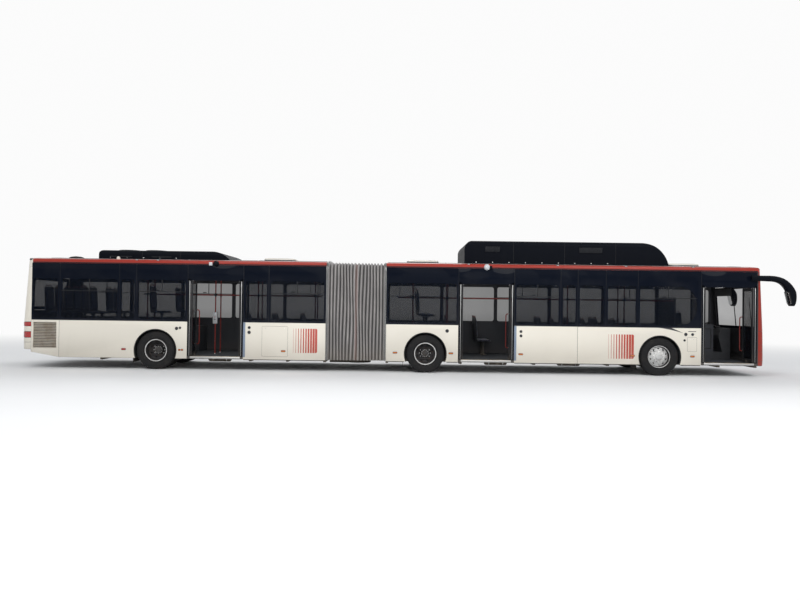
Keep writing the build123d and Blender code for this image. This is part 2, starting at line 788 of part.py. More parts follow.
def leaf_handle(hinge, free, out):
    """Bent handrail on the leaf's inner stile, on the cabin side."""
    a = LEAF_STILE / 2 - LEAF_NEAR
    low, high = HANDLE_Z
    points = []
    for n, z in ((LEAF_IN + 1, high), (-HANDLE_OUT, high), (-HANDLE_OUT, low), (LEAF_IN + 1, low)):
        points.append((*along(along(hinge, free, a), out, n), z))
    path = FilletPolyline(*points, radius=HANDLE_BEND)
    return sweep(Plane(path @ 0, z_dir=path % 0) * Circle(HANDLE_RADIUS), path)


def door_leaf(x):
    """Rear leaf with its handrail, hinge pins and guide roller."""
    _, hinge, _, free, out = door_frame(x)
    frame = leaf_plate(hinge, free, out, -LEAF_NEAR, LEAF_FAR, LEAF_IN, LEAF_OUT, LEAF_Z0, LEAF_Z1)
    hole = leaf_plate(
        hinge, free, out, LEAF_STILE - LEAF_NEAR, LEAF_FAR - LEAF_STILE, LEAF_IN - 1, LEAF_OUT - 6,
        LEAF_Z0 + LEAF_FOOT, LEAF_Z1 - LEAF_HEAD,
    )
    leaf = frame - hole
    guide = along(hinge, free, ARM)
    pieces = [leaf_handle(hinge, free, out)]
    half, depth, tall = LUG
    for a, reach, z0 in ((0, half, LEAF_Z0), (0, half, LEAF_Z1 - tall), (ARM, GUIDE_LUG, LEAF_Z1 - tall)):
        pieces.append(leaf_plate(hinge, free, out, a - reach, a + reach, -depth, LEAF_IN + 1, z0, z0 + tall))
    pieces.append(post(HINGE_PIN, *hinge, ARM_Z0, LEAF_Z0 + 5))
    pieces.append(post(HINGE_PIN, *hinge, LEAF_Z1 - 5, TOP_ARM_Z + ARM_PLATE))
    pieces.append(post(HINGE_PIN, *guide, LEAF_Z1 - 5, TRACK_Z0 + 8))
    pieces.append(post(ROLLER, *guide, TRACK_Z0 + 6, TRACK_Z0 + 30))
    return leaf + pieces


# Ends
def lamp_box(x0, x1, y0, y1, z0, z1):
    """Pocket for a lamp, a little larger all round."""
    gap = SEAT_GAP
    way = 1 if y1 > 0 else -1
    return block(x0 - gap, x1 + gap, y0 - way * gap, y1 + way * gap, z0 - gap, z1 + gap)


def nose_and_screen(form, inside, thin):
    """Front mask with its corner posts, the windscreen in it, and the headlamps."""
    shell = form - inside
    ahead = block(NOSE_X0, FRONT_X + 50, -HALF - 5, HALF + 5, SKIRT_Z - 5, SCREEN_Z1)
    screen_box = block(NOSE_X0 + 20, FRONT_X + 50, -SCREEN_HALF, SCREEN_HALF, SCREEN_Z0, SCREEN_Z1)
    ledge = SCREEN_LEDGE
    opening = block(
        NOSE_X0 + 10, FRONT_X + 50, ledge - SCREEN_HALF, SCREEN_HALF - ledge, SCREEN_Z0 + ledge, SCREEN_Z1 + 1
    )
    mask = (shell & ahead) - opening - ((form - car_form(1, GLASS + SEAT_GAP, ROOF)) & screen_box)
    lamps = []
    for side in (-1, 1):
        y0, y1 = (side * y for y in LAMP_POCKET_Y)
        pocket = (NOSE_X0 + 80, FRONT_X + 50, y0, y1, *LAMP_Z)
        lamp = shell & block(*pocket)
        for y, radius in zip(LAMP_Y, LAMP_RADIUS):
            z = sum(LAMP_Z) / 2
            face_x = FRONT_X - end_depth(NOSE_SECTIONS, y, z)
            lamp += long_bar(radius, face_x - PANEL / 2, face_x + LAMP_PROUD, side * y, z)
        lamps.append(lamp)
        mask -= lamp_box(*pocket)
    pitch = (GRILLE_Z[1] - GRILLE_Z[0]) / GRILLE_SLOTS
    for i in range(GRILLE_SLOTS):
        z = GRILLE_Z[0] + pitch * i
        mask -= block(NOSE_X0, FRONT_X + 50, -GRILLE_HALF, GRILLE_HALF, z, z + pitch / 2)
    gap = 2
    screen = (form - thin) & block(
        NOSE_X0 + 20, FRONT_X + 50, gap - SCREEN_HALF, SCREEN_HALF - gap, SCREEN_Z0 + gap, SCREEN_Z1 - gap
    )
    return mask, screen, lamps


def tail_and_lamps(form, inside):
    """Rear wall with its window opening, and the lamps in its corners."""
    shell = form - inside
    behind = block(REAR_X - 50, TAIL_X1, -HALF - 5, HALF + 5, TAIL_WALL_Z0, SCREEN_Z1)
    wall = shell & behind
    wall -= block(REAR_X - 50, TAIL_X1, -REAR_WINDOW_HALF, REAR_WINDOW_HALF, *REAR_WINDOW_Z)
    pitch = (HATCH_GRILLE_Z[1] - HATCH_GRILLE_Z[0]) / HATCH_SLOTS
    lamps = []
    for side in (-1, 1):
        for i in range(HATCH_SLOTS):
            z = HATCH_GRILLE_Z[0] + pitch * i
            y0, y1 = (side * y for y in HATCH_GRILLE)
            wall -= block(REAR_X - 50, REAR_X + 100, y0, y1, z, z + pitch / 2)
        y0, y1 = (side * y for y in TAIL_LAMP_Y)
        for z0, z1 in TAIL_LAMP_Z:
            pocket = (REAR_X - 50, REAR_X + TAIL_LAMP_DEPTH, y0, y1, z0, z1)
            lamps.append(shell & block(*pocket))
            wall -= lamp_box(*pocket)
    return wall, lamps


# Roof equipment
def hollow_fairing(x0, x1, top, half, rise, slope):
    """Thin cover on the roof, open below."""
    skin = FAIRING_SKIN
    core = roof_fairing(x0 + skin, x1 - skin, top - skin, half - skin, rise - skin / 2, slope, 2 * skin)
    return roof_fairing(x0, x1, top, half, rise, slope, 0) - core


def roof_fairing(x0, x1, top, half, rise, slope, lower):
    """Form on the roof, with a round rear end, a falling front and rounded shoulders."""
    low = ROOF_EDGE_Z - 20 - lower
    rear = [Line((x0, low), (x0, top - rise)), JernArc((x0, top - rise), (0, 1), rise, -90)]
    drop = top - ROOF_EDGE_Z - 30 + lower
    radius = (slope ** 2 + drop ** 2) / (2 * drop)
    mid_x = x1 - slope + slope * 0.55
    mid_z = top - radius + sqrt(radius ** 2 - (slope * 0.55) ** 2)
    front = ThreePointArc((x1 - slope, top), (mid_x, mid_z), (x1, top - drop))
    flat = Line((x0 + rise, top), (x1 - slope, top))
    outline = make_face([*rear, flat, front, Polyline((x1, top - drop), (x1, low), (x0, low))])
    long_form = extrude(Plane.XZ * outline, half, both=True)
    shoulder = Polyline((-half, low), (-half, top), (half, top), (half, low), close=True)
    face = make_face(shoulder)
    face = fillet([v for v in face.vertices() if v.Y > top - 1], FAIRING_ROUND)
    across = extrude(Pos(x0, 0, 0) * (Plane.YZ * face), x1 - x0)
    return long_form & across


def roof_hatch(x):
    """Raised hatch on the roof's middle."""
    length, width, height = HATCH
    top = ROOF_CROWN_Z + height
    lid = block(x - length / 2, x + length / 2, -width / 2, width / 2, ROOF_CROWN_Z - ROOF / 2, top)
    return fillet(lid.edges().filter_by(Axis.Z), HATCH_ROUND)


def fans(cooler):
    """Cooling unit with its four round fan cowls on top."""
    low, high = FAN_RADIUS
    for gap in FAN_X:
        for side in (-1, 1):
            x, y = COOLER_X[0] + gap, side * FAN_Y
            cowl = post(high, x, y, COOLER_TOP_Z - 5, COOLER_TOP_Z + FAN_PROUD)
            cooler += cowl - post(low, x, y, COOLER_TOP_Z - 6, COOLER_TOP_Z + FAN_PROUD + 1)
            cooler += post(low / 4, x, y, COOLER_TOP_Z - 5, COOLER_TOP_Z + FAN_PROUD / 2)
    return cooler


def mirror_arm(side):
    """Foot and curved housing of one outside mirror, which bends down to its head."""
    root_x = FRONT_X - MIRROR_FOOT_X - 60
    tip_x = FRONT_X + MIRROR_REACH
    points = [(tip_x - back, z) for back, z in MIRROR_BEND]
    bends = [ThreePointArc(*points[i:i + 3]) for i in range(0, len(points) - 2, 2)]
    arm = Polyline(points[-1], (root_x, MIRROR_ROOT_Z[0]), (root_x, MIRROR_ROOT_Z[1]), points[0])
    seen_from_side = extrude(Plane.XZ * make_face([*bends, *arm.edges()]), 2 * HALF, both=True)
    near = HALF + MIRROR_FOOT
    far = HALF + MIRROR_OUT
    low = far - MIRROR_WIDTH
    knee_x = FRONT_X - 60
    head_x = tip_x - 340
    plan = Polyline(
        (root_x, near), (knee_x, near), (head_x, low), (tip_x + 1, low), (tip_x + 1, far),
        (head_x, far), (knee_x, near + MIRROR_ARM), (root_x, near + MIRROR_ARM), close=True,
    )
    face = make_face(plan)
    face = fillet([v for v in face.vertices() if tip_x - 1 > v.X > root_x + 1], MIRROR_ROUND[0])
    face = fillet([v for v in face.vertices() if v.X > tip_x], MIRROR_ROUND[1])
    seen_from_above = extrude(face, 3 * HALF)
    housing = seen_from_side & seen_from_above
    foot_x = FRONT_X - MIRROR_FOOT_X
    reach, tall = MIRROR_PAD
    foot = block(foot_x - reach, foot_x + reach, HALF, near + 1, MIRROR_FOOT_Z - tall, MIRROR_FOOT_Z + tall)
    mirror_left = housing + foot
    return mirror_left if side > 0 else mirror(mirror_left, Plane.XZ)


def wiper(y):
    """Spindle boss, arm and blade of one wiper, leaning with the windscreen."""
    z = SCREEN_Z0 - 30
    foot_depth = end_depth(NOSE_SECTIONS, y, z)
    lean = (end_depth(NOSE_SECTIONS, y, z + WIPER_REACH) - foot_depth) / WIPER_REACH
    mask_lean = (end_depth(NOSE_SECTIONS, y, z + 10) - foot_depth) / 10
    slope = (end_depth(NOSE_SECTIONS, y + 10, z) - foot_depth) / 10
    foot = WIPER_BOSS * hypot(lean - mask_lean, slope) + SEAT_GAP
    boss = long_bar(WIPER_BOSS, foot, 32, 0, 0)
    arm = block(14, 30, -13, 13, 0, WIPER_REACH - 180)
    blade = block(5, 26, -6, 6, 150, WIPER_REACH)
    return Pos(FRONT_X - foot_depth, y, z) * Rot(0, -degrees(atan(lean)), 0) * (boss + [arm, blade])


# Inside
def seat_form():
    """Cushion and leaning back in one bent profile, on a leg and foot plate; its front edge is at X 0."""
    rear = -SEAT_DEPTH
    pad = SEAT_PAD
    top_x = rear - SEAT_LEAN
    outline = Polyline(
        (0, -pad), (0, 0), (rear + pad, -10),
        (top_x + pad, BACK_HEIGHT), (top_x + 18, BACK_HEIGHT), (rear, -pad), close=True,
    )
    face = make_face(outline)
    face = fillet([v for v in face.vertices() if v.Y > BACK_HEIGHT - 1 or v.X > -1], 18)
    face = fillet([v for v in face.vertices() if abs(v.X - rear) < 1 and v.Y < 1 - pad], 45)
    shell = extrude(Plane.XZ * face, SEAT_WIDTH / 2, both=True)
    leg_x = rear / 2
    leg = post(LEG / 2, leg_x, 0, FOOT_PLATE[1] - SEAT_HEIGHT, 1 - pad)
    half = FOOT_PLATE[0] / 2
    foot = block(leg_x - half, leg_x + half, -half, half, -SEAT_HEIGHT, FOOT_PLATE[1] - SEAT_HEIGHT)
    return shell + [leg, foot]


SEAT = seat_form()


def seat(x, y, floor_z):
    """One passenger seat with its front edge at x."""
    return Pos(x, y, floor_z + SEAT_HEIGHT) * SEAT


def seat_rows(table, floor_z):
    """Seats from a table of x and the places across the bus."""
    return [seat(x, y, floor_z) for x, places in table for y in places]


def grab_rails(poles, x0, x1):
    """Upright poles joined by two rails under the roof."""
    pieces = []
    for side in (-1, 1):
        y = side * POLE_Y
        top = ROOF_CROWN_Z - ROOF - roof_drop(y) - 4
        uprights = [post(POLE_RADIUS, x, y, FLOOR_Z, top) for x in poles]
        pieces.append(fused([long_bar(POLE_RADIUS, x0, x1, y, HIGH_RAIL_Z)] + uprights))
    return pieces


def ticket_box(x):
    """Ticket box round a pole, with its sloped face towards the door."""
    length, depth, height = TICKET_BOX
    low, mid, high = (TICKET_BOX_Z + height * way / 2 for way in (-1, 0, 1))
    back = -POLE_Y + POLE_RADIUS + 9
    face = back - depth
    slope = (face + depth / 3, high)
    outline = Polyline((back, low), (face, low), (face, mid), slope, (back, high), close=True)
    return Pos(x - length / 2, 0, 0) * extrude(Plane.YZ * make_face(outline), length)


def bellows():
    """Pleated roof and sides between the two cars, open below."""
    step = BELLOWS_LENGTH / (2 * PLEATS)
    outer = [(REAR_CAR_X1 + step * i, -PLEAT_DEPTH * ((i + 1) % 2)) for i in range(2 * PLEATS + 1)]
    inner = [(x, z - BELLOWS_SKIN) for x, z in reversed(outer)]
    pleats = Plane.XZ * make_face(Polyline(*outer, *inner, close=True))
    flat_y = BELLOWS_HALF - BELLOWS_CORNER
    flat_z = BELLOWS_Z1 - BELLOWS_CORNER
    pieces = [Pos(0, 0, BELLOWS_Z1) * extrude(pleats, flat_y, both=True)]
    for side in (-1, 1):
        wall = Rot(-side * 90, 0, 0) * Pos(0, 0, BELLOWS_HALF) * pleats
        pieces.append(Pos(0, 0, BELLOWS_Z0) * extrude(wall, flat_z - BELLOWS_Z0, dir=(0, 0, 1)))
        corner = revolve(Pos(0, 0, BELLOWS_CORNER) * pleats, Axis.X, revolution_arc=-side * 90)
        pieces.append(Pos(0, side * flat_y, flat_z) * corner)
    return fused(pieces)


def save(name, shape):
    """Write one node's STEP file."""
    export_step(shape, f"parts/{name}.step")


def write_ends_and_roofs():
    """Both rounded ends, the roofs and their lamps."""
    form = car_form(1, 0, 0)
    inside = car_form(1, PANEL, ROOF)
    mask, screen, lamps = nose_and_screen(form, inside, car_form(1, GLASS, ROOF))
    sign = block(NOSE_X0 - 120, NOSE_X0 - 60, -SIGN_Y, SIGN_Y, *SIGN_Z)
    hatches = [roof_hatch(x) for x in FRONT_HATCHES]
    save("front_roof", roof_shell(form, inside, NOSE_X0, 1) + [sign, *hatches])
    save("nose", mask)
    save("windscreen", screen)
    save("headlamps", apart(lamps))
    form = car_form(-1, 0, 0)
    inside = car_form(-1, PANEL, ROOF)
    wall, lamps = tail_and_lamps(form, inside)
    save("rear_roof", roof_shell(form, inside, TAIL_X1, -1) + [roof_hatch(x) for x in REAR_HATCHES])
    save("rear_wall", wall - tail_rise())
    save("tail_lamps", apart(lamps))


def write_sides():
    """Side walls and their glass."""
    rear_left = bays(TAIL_X1, REAR_CAR_X1, REAR_LEFT_BAYS)
    front_left = bays(FRONT_CAR_X0, NOSE_X0, FRONT_LEFT_BAYS)
    front = (FRONT_CAR_X0, NOSE_X0)
    rear = (TAIL_X1, REAR_CAR_X1)
    front_axles = (FRONT_AXLE_X, MIDDLE_AXLE_X)
    save("front_side_right", side_wall(*front, -1, FRONT_RIGHT_PANES, front_axles, DOOR_X[:2]))
    save("front_side_left", side_wall(*front, 1, front_left, front_axles, ()))
    rear_right = side_wall(*rear, -1, REAR_RIGHT_PANES, (REAR_AXLE_X,), DOOR_X[2:])
    save("rear_side_right", vent(rear_right - tail_rise()))
    save("rear_side_left", side_wall(*rear, 1, rear_left, (REAR_AXLE_X,), ()) - tail_rise())
    save("front_glass", apart(glazing(-1, FRONT_RIGHT_PANES) + glazing(1, front_left)))
    pane_x = REAR_X + REAR_PANE
    rear_pane = block(pane_x, pane_x + GLASS, -REAR_WINDOW_HALF, REAR_WINDOW_HALF, *REAR_WINDOW_Z)
    save("rear_glass", apart(glazing(-1, REAR_RIGHT_PANES) + glazing(1, rear_left) + [rear_pane]))


def write_floors():
    """Floors, frames and the articulation's plates."""
    front_axles = ((FRONT_AXLE_X, STEER_BOX_Y), (MIDDLE_AXLE_X, TWIN_BOX_Y))
    front = floor_slab(FRONT_CAR_X0, NOSE_X0, front_axles)
    length, half = NOSE_FLOOR
    save("front_floor", front + block(NOSE_X0, NOSE_X0 + length, -half, half, SLAB_Z0, FLOOR_Z))
    save("front_underframe", front_frame())
    rear_x0 = REAR_AXLE_X - DECK_FROM_AXLE
    rear = floor_slab(rear_x0, REAR_CAR_X1, ((REAR_AXLE_X, TWIN_BOX_Y),))
    rear += block(TAIL_X1 + 20, rear_x0, -INNER, INNER, DECK_Z - FLOOR, DECK_Z)
    rear += block(rear_x0 - FLOOR, rear_x0, -INNER, INNER, SLAB_Z0, DECK_Z)
    save("rear_floor", rear)
    save("rear_underframe", rear_frame(rear_x0 - FRAME_BEHIND))
    low, mid, high = SLEW_Z
    upper = post(SLEW_RADIUS, PIVOT_X, 0, mid + BEARING, high)
    upper -= post(SLEW_PIN + BEARING, PIVOT_X, 0, 0, high + 1)
    y0, y1 = SLEW_ARM_Y
    for side in (-1, 1):
        upper += block(PIVOT_X + SLEW_ARM, FRONT_CAR_X0, side * y0, side * y1, mid + BEARING, high)
    upper += post(DISC_RADIUS, PIVOT_X, 0, high, FLOOR_Z)
    save("turntable_front", upper)
    lower = post(SLEW_RADIUS, PIVOT_X, 0, low, mid) + post(SLEW_PIN, PIVOT_X, 0, mid, high - 2)
    for side in (-1, 1):
        lower += block(REAR_CAR_X1, PIVOT_X - SLEW_ARM, side * y0, side * y1, low, mid)
        lower += block(REAR_CAR_X1, REAR_CAR_X1 + CROSS_WIDTH, side * y0, side * y1, low, high)
    save("turntable_rear", lower)
    save("bellows", bellows())


def write_running_gear():
    """Axles, knuckles, wheels and engine."""
    save("front_car_axles", apart([steered_axle(FRONT_AXLE_X), portal_axle(MIDDLE_AXLE_X, False)]))
    save("rear_axle", portal_axle(REAR_AXLE_X, True))
    for side, hand in ((1, "left"), (-1, "right")):
        save(f"knuckle_{hand}", knuckle(side))
        save(f"tyre_front_{hand}", tyre(FRONT_AXLE_X, side * FRONT_WHEEL_Y, side))
        save(f"rim_front_{hand}", front_rim(side))
        for name, axle_x in (("middle", MIDDLE_AXLE_X), ("rear", REAR_AXLE_X)):
            pair = [
                tyre(axle_x, side * (TWIN_Y + way * TWIN_SPACING / 2), side) for way in (-1, 1)
            ]
            save(f"tyres_{name}_{hand}", apart(pair))
            save(f"rims_{name}_{hand}", twin_rim(axle_x, side))
    engine_x = (TAIL_X1 + 80, REAR_AXLE_X - ENGINE_FROM_AXLE)
    save("engine", block(*engine_x, *ENGINE_Y, TAIL_RAIL_Z[1], ENGINE_TOP))


def write_roof_equipment():
    """Tank cover, cooling unit, mirrors and wipers."""
    under = extrude(Pos(REAR_X, 0, 0) * body_section(-SEAT_GAP, -SEAT_GAP), LENGTH)
    tank = hollow_fairing(*TANK_X, TANK_TOP_Z, TANK_HALF, TANK_END_RADIUS, TANK_SLOPE)
    save("tank_cover", tank - under)
    cooler = roof_fairing(*COOLER_X, COOLER_TOP_Z, COOLER_HALF, COOLER_END_RADIUS, COOLER_SLOPE, 0)
    save("roof_cooler", fans(cooler - under))
    save("mirrors", apart([mirror_arm(-1), mirror_arm(1)]))
    save("wipers", apart([wiper(y) for y in WIPER_Y]))


def driver_cab():
    """Dashboard, platform, partition, gate and steering wheel."""
    step_z = FLOOR_Z + PLATFORM
    x1 = NOSE_X0 - 20
    outline = Polyline([(x1, step_z)] + [(NOSE_X0 - back, z) for back, z in DASH], close=True)
    dash = Pos(0, INNER, 0) * extrude(Plane.XZ * make_face(outline), INNER - CAB_Y0)
    rear_x, wall_x, gate_x = (NOSE_X0 - back for back in CAB_BACK)
    platform = block(wall_x, x1, CAB_Y0, INNER, FLOOR_Z, step_z)
    screen = block(rear_x, wall_x, CAB_Y0, INNER, FLOOR_Z, CAB_WALL_Z)
    gate = block(rear_x, gate_x, CAB_Y0 - GATE, CAB_Y0, FLOOR_Z, GATE_Z)
    rest = block(rear_x, gate_x, CAB_Y0 - GATE - 6, CAB_Y0 + 6, GATE_Z, GATE_Z + 30)
    radius, tube, height = WHEEL
    rim = Torus(radius, tube) + Box(2 * radius, 34, tube) + Cylinder(50, 40)
    wheel = Pos(NOSE_X0 - 500, CAB_Y, height) * Rot(0, -WHEEL_TILT, 0) * rim
    column = Pos(NOSE_X0 - 420, CAB_Y, height - 130) * Rot(0, -WHEEL_TILT, 0) * Cylinder(28, 340)
    return fused([dash, platform, screen, gate, rest, column, wheel])


def write_inside():
    """Driver's place, seats and grab rails."""
    save("driver_cab", driver_cab())
    by_wall = (-925, 925)
    pair = (520, 960)
    front_table = (
        (FRONT_AXLE_X - 640, (-960, -520, 520, 960)),
        (FRONT_AXLE_X - 1420, (-960, -520, 520, 960)),
        (FRONT_AXLE_X - 2200, (-960, 520, 960)),
        (MIDDLE_AXLE_X + 1900, pair),
        (MIDDLE_AXLE_X + 1100, pair),
    )
    seats = seat_rows(front_table, FLOOR_Z)
    seats += seat_rows([(MIDDLE_AXLE_X + 250, by_wall)], BOX_TOP + BOX_SHEET)
    seats += seat_rows([(NOSE_X0 - 740, (CAB_Y,))], FLOOR_Z + PLATFORM)
    save("front_seats", apart(seats))
    rear_table = [(REAR_CAR_X1 - gap, pair) for gap in (420, 1200, 1980)]
    seats = seat_rows(rear_table, FLOOR_Z)
    seats += seat_rows([(REAR_AXLE_X + 250, by_wall)], BOX_TOP + BOX_SHEET)
    deck_table = (
        (REAR_AXLE_X - 1500, (-925, -460, 460, 925)),
        (REAR_AXLE_X - 2400 * STRETCH, (-925, -460, 0, 460, 925)),
    )
    seats += seat_rows(deck_table, DECK_Z)
    save("rear_seats", apart(seats))
    front_poles = (
        MIDDLE_AXLE_X - 300, DOOR_X[1] - 900, DOOR_X[1] + 900, FRONT_JOINTS[1], FRONT_JOINTS[3]
    )
    save("front_grab_rails", apart(grab_rails(front_poles, FRONT_CAR_X0 + 300, NOSE_X0 - 1700)))
    ticket_x = DOOR_X[2] - 286
    rear_poles = (REAR_AXLE_X - 600, ticket_x, DOOR_X[2] + 850, REAR_CAR_X1 - 400)
    right, left = grab_rails(rear_poles, REAR_AXLE_X - 700, REAR_CAR_X1 - 300)
    save("rear_grab_rails", apart([right + ticket_box(ticket_x), left]))


def write_doors():
    """Posts and leaves of the three doorways, numbered from the front."""
    for number, x in enumerate(DOOR_X, 1):
        for part, shape in (("post", door_post(x)), ("leaf", door_leaf(x))):
            save(f"door_{number}_rear_{part}", shape)
            save(f"door_{number}_front_{part}", mirror(shape, Plane.YZ.offset(x)))


os.makedirs("parts", exist_ok=True)
write_ends_and_roofs()
write_sides()
write_floors()
write_running_gear()
write_roof_equipment()
write_inside()
write_doors()
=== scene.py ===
"""Looks of a low-floor articulated city bus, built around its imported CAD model.

Metres, X forward, Y to the bus's left, Z up from the road. The side seen in the photograph is at -Y.
"""

import json
from math import atan2, cos, degrees, hypot, pi, radians, sin, sqrt

import bmesh
import bpy
import numpy as np
from mathutils import Matrix, Vector
from mathutils.geometry import tessellate_polygon

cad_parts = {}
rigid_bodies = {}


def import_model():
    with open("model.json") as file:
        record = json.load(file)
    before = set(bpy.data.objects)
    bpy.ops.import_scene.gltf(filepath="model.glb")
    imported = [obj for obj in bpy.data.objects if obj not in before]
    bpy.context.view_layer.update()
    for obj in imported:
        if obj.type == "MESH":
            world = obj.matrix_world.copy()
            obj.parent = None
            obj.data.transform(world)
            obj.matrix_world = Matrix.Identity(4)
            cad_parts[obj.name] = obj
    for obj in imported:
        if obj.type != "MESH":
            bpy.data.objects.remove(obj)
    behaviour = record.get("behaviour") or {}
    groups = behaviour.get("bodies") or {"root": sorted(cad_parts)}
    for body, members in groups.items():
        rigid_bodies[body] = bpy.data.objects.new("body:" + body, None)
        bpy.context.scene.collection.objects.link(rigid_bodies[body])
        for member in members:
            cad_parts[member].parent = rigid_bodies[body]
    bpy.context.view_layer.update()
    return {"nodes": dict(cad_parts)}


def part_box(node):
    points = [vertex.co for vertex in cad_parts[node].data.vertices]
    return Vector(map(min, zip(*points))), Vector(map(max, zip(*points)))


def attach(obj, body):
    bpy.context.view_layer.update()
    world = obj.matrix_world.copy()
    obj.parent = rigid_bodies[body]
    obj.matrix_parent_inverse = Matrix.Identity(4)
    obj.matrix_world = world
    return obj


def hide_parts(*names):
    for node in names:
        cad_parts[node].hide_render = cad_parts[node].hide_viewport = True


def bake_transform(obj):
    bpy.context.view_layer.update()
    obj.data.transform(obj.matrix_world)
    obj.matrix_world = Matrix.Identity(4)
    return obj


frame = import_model()

bl_info = {
    "name": "Articulated bus looks",
    "version": (1, 0, 0),
    "blender": (4, 5, 0),
    "location": "View3D > Sidebar > Bus",
    "description": "Builds the outer and inner looks of an articulated city bus",
    "category": "Object",
}


def low(node):
    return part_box(node)[0]


def high(node):
    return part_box(node)[1]


def middle(node):
    return (low(node) + high(node)) / 2


# Driving places, read from the frame
FRONT_X = high("nose").x
NOSE_X0 = low("nose").x
REAR_X = low("rear_wall").x
TAIL_X1 = high("rear_wall").x
FRONT_CAR_X0 = low("front_side_left").x
REAR_CAR_X1 = high("rear_side_left").x
HALF = high("front_side_left").y
SKIRT_Z = low("front_side_left").z
BAND_TOP = high("front_side_left").z
FLOOR_Z = low("driver_cab").z
WAIST_Z = low("front_glass").z - 0.002
AXLE_Z = middle("tyre_front_left").z
TYRE_R = high("tyre_front_left").z - AXLE_Z
RIM_R = high("rim_front_left").z - AXLE_Z
FRONT_AXLE_X = middle("tyre_front_left").x
MIDDLE_AXLE_X = middle("tyres_middle_left").x
REAR_AXLE_X = middle("tyres_rear_left").x
FRONT_WHEEL_Y = middle("tyre_front_left").y
TWIN_Y = middle("tyres_middle_left").y
PIVOT_X = middle("bellows").x
DOOR_X = [(low(f"door_{n}_rear_post").x + high(f"door_{n}_front_post").x) / 2 for n in (1, 2, 3)]

# Sizes that the frame doesn't give directly, as in the CAD source
CROWN_Z = 2.83
COVER_TOP = {"tank_cover": high("tank_cover").z, "roof_cooler": 3.010}
WINDOW_Z = (1.26, 2.25)
EDGE_Z = 2.74
ARCH_R = 0.535
PILLAR = 0.09
DOOR_HALF = 0.70
DOOR_TOP = 2.24
JAMB = 0.072
ARM = 0.318
OPEN_ANGLE = radians(83)
POST_IN = 0.04
POST_Y = -1.206
# Rounded ends: height, lean back from the tip, bow, corner radius
NOSE_ROWS = (
    (SKIRT_Z, 0.014, 0.080, 0.150), (0.43, 0.0, 0.080, 0.150), (1.15, 0.012, 0.080, 0.150),
    (2.9, 0.190, 0.025, 0.025)
)
TAIL_ROWS = (
    (SKIRT_Z, 0.020, 0.050, 0.180), (0.56, 0.0, 0.050, 0.180), (1.15, 0.0, 0.050, 0.180),
    (2.9, 0.150, 0.050, 0.110)
)
DECK_Z = 1.0
BOX_TOP = 1.042
TWIN_GAP = 0.155
RAIL_Y = 0.25
DRIVER_Y = 0.64
TICKET_X = DOOR_X[2] - 0.286
# Bottom edge of the side panels behind the rear axle
TAIL_BEND = REAR_AXLE_X - 2.4
TAIL_LIFT_Z = 0.46
# Slatted vent in the rear right wall: along from and to, height from and to
LOUVRE = (-9.345, -8.735, 0.50, 1.165)

SIDES = ((1, "left"), (-1, "right"))
CAR_DOORS = {"front": DOOR_X[:2], "rear": DOOR_X[2:]}
CAR_AXLES = {"front": (FRONT_AXLE_X, MIDDLE_AXLE_X), "rear": (REAR_AXLE_X,)}


def label(name, text, default, unit="LENGTH"):
    return bpy.props.FloatProperty(name=name, description=text, default=default, unit=unit, precision=4)


def tint(name, text, default):
    return bpy.props.FloatVectorProperty(
        name=name, description=text, default=default, subtype="COLOR", size=3, min=0, max=1
    )


class BusSizes(bpy.types.PropertyGroup):
    """Sizes of what the looks add to the CAD model."""

    joint: label("Panel joint", "Gap between outer panels", 0.007)
    lift: label("Panel lift", "How far outer panels stand off the walls", 0.004)
    round: label("Edge round", "Rounding along panel edges", 0.003)
    pleat: label("Pleat depth", "Depth of the folds between the cars", 0.062)
    pleats: bpy.props.IntProperty(name="Pleats", description="Folds between the cars", default=17, min=4)
    tread: label("Tread depth", "Depth of the tyre grooves", 0.012)
    lugs: bpy.props.IntProperty(name="Tread blocks", description="Blocks round a tyre", default=56, min=12)
    nuts: bpy.props.IntProperty(name="Wheel nuts", description="Nuts on each wheel", default=10, min=4)
    crown: label("Cushion crown", "How far a seat pad swells", 0.012)


class BusColours(bpy.types.PropertyGroup):
    """Colours of the bus."""

    # Cream rather than pure white: painted warm sunlight in the white paint's colour
    white: tint("White", "Lower side panels", (0.77, 0.725, 0.63))
    # Darker than the red of the side stripes: painted shade, matched to the shaded flank of the nose
    red: tint("Red", "Roof edge, nose and stripes", (0.31, 0.024, 0.013))
    black: tint("Black", "Roof covers and gloss black frames", (0.004, 0.005, 0.008))
    glass: tint("Glass", "Tinted panes", (0.003, 0.005, 0.010))
    roof: tint("Roof", "Top of the roof", (0.55, 0.55, 0.53))
    cloth: tint("Bellows", "Cloth of the folds", (0.19, 0.18, 0.175))
    seat: tint("Seat cloth", "Seat pads", (0.022, 0.036, 0.085))
    rail: tint("Rails", "Grab rails", (0.20, 0.016, 0.011))
    lining: tint("Lining", "Inner walls and ceiling", (0.038, 0.041, 0.050))
    floor: tint("Floor", "Floor covering", (0.045, 0.050, 0.058))
    steel: tint("Steel", "Painted frames and axles", (0.045, 0.047, 0.050))
    alloy: tint("Alloy", "Bare trims and wheel rims", (0.56, 0.56, 0.55))
    rubber: tint("Rubber", "Tyres and seals", (0.010, 0.010, 0.011))
    amber: tint("Amber", "Side markers", (0.50, 0.13, 0.015))
    dust: tint("Dust", "Road dust", (0.20, 0.165, 0.125))


# Shader maths
def maths(kind, swap=False):
    """Method of Value for one kind of maths; swap puts the other value first."""
    def method(self, *other):
        pair = (*other, self) if swap else (self, *other)
        return self.graph.node("ShaderNodeMath", {"operation": kind}, *pair)

    return method


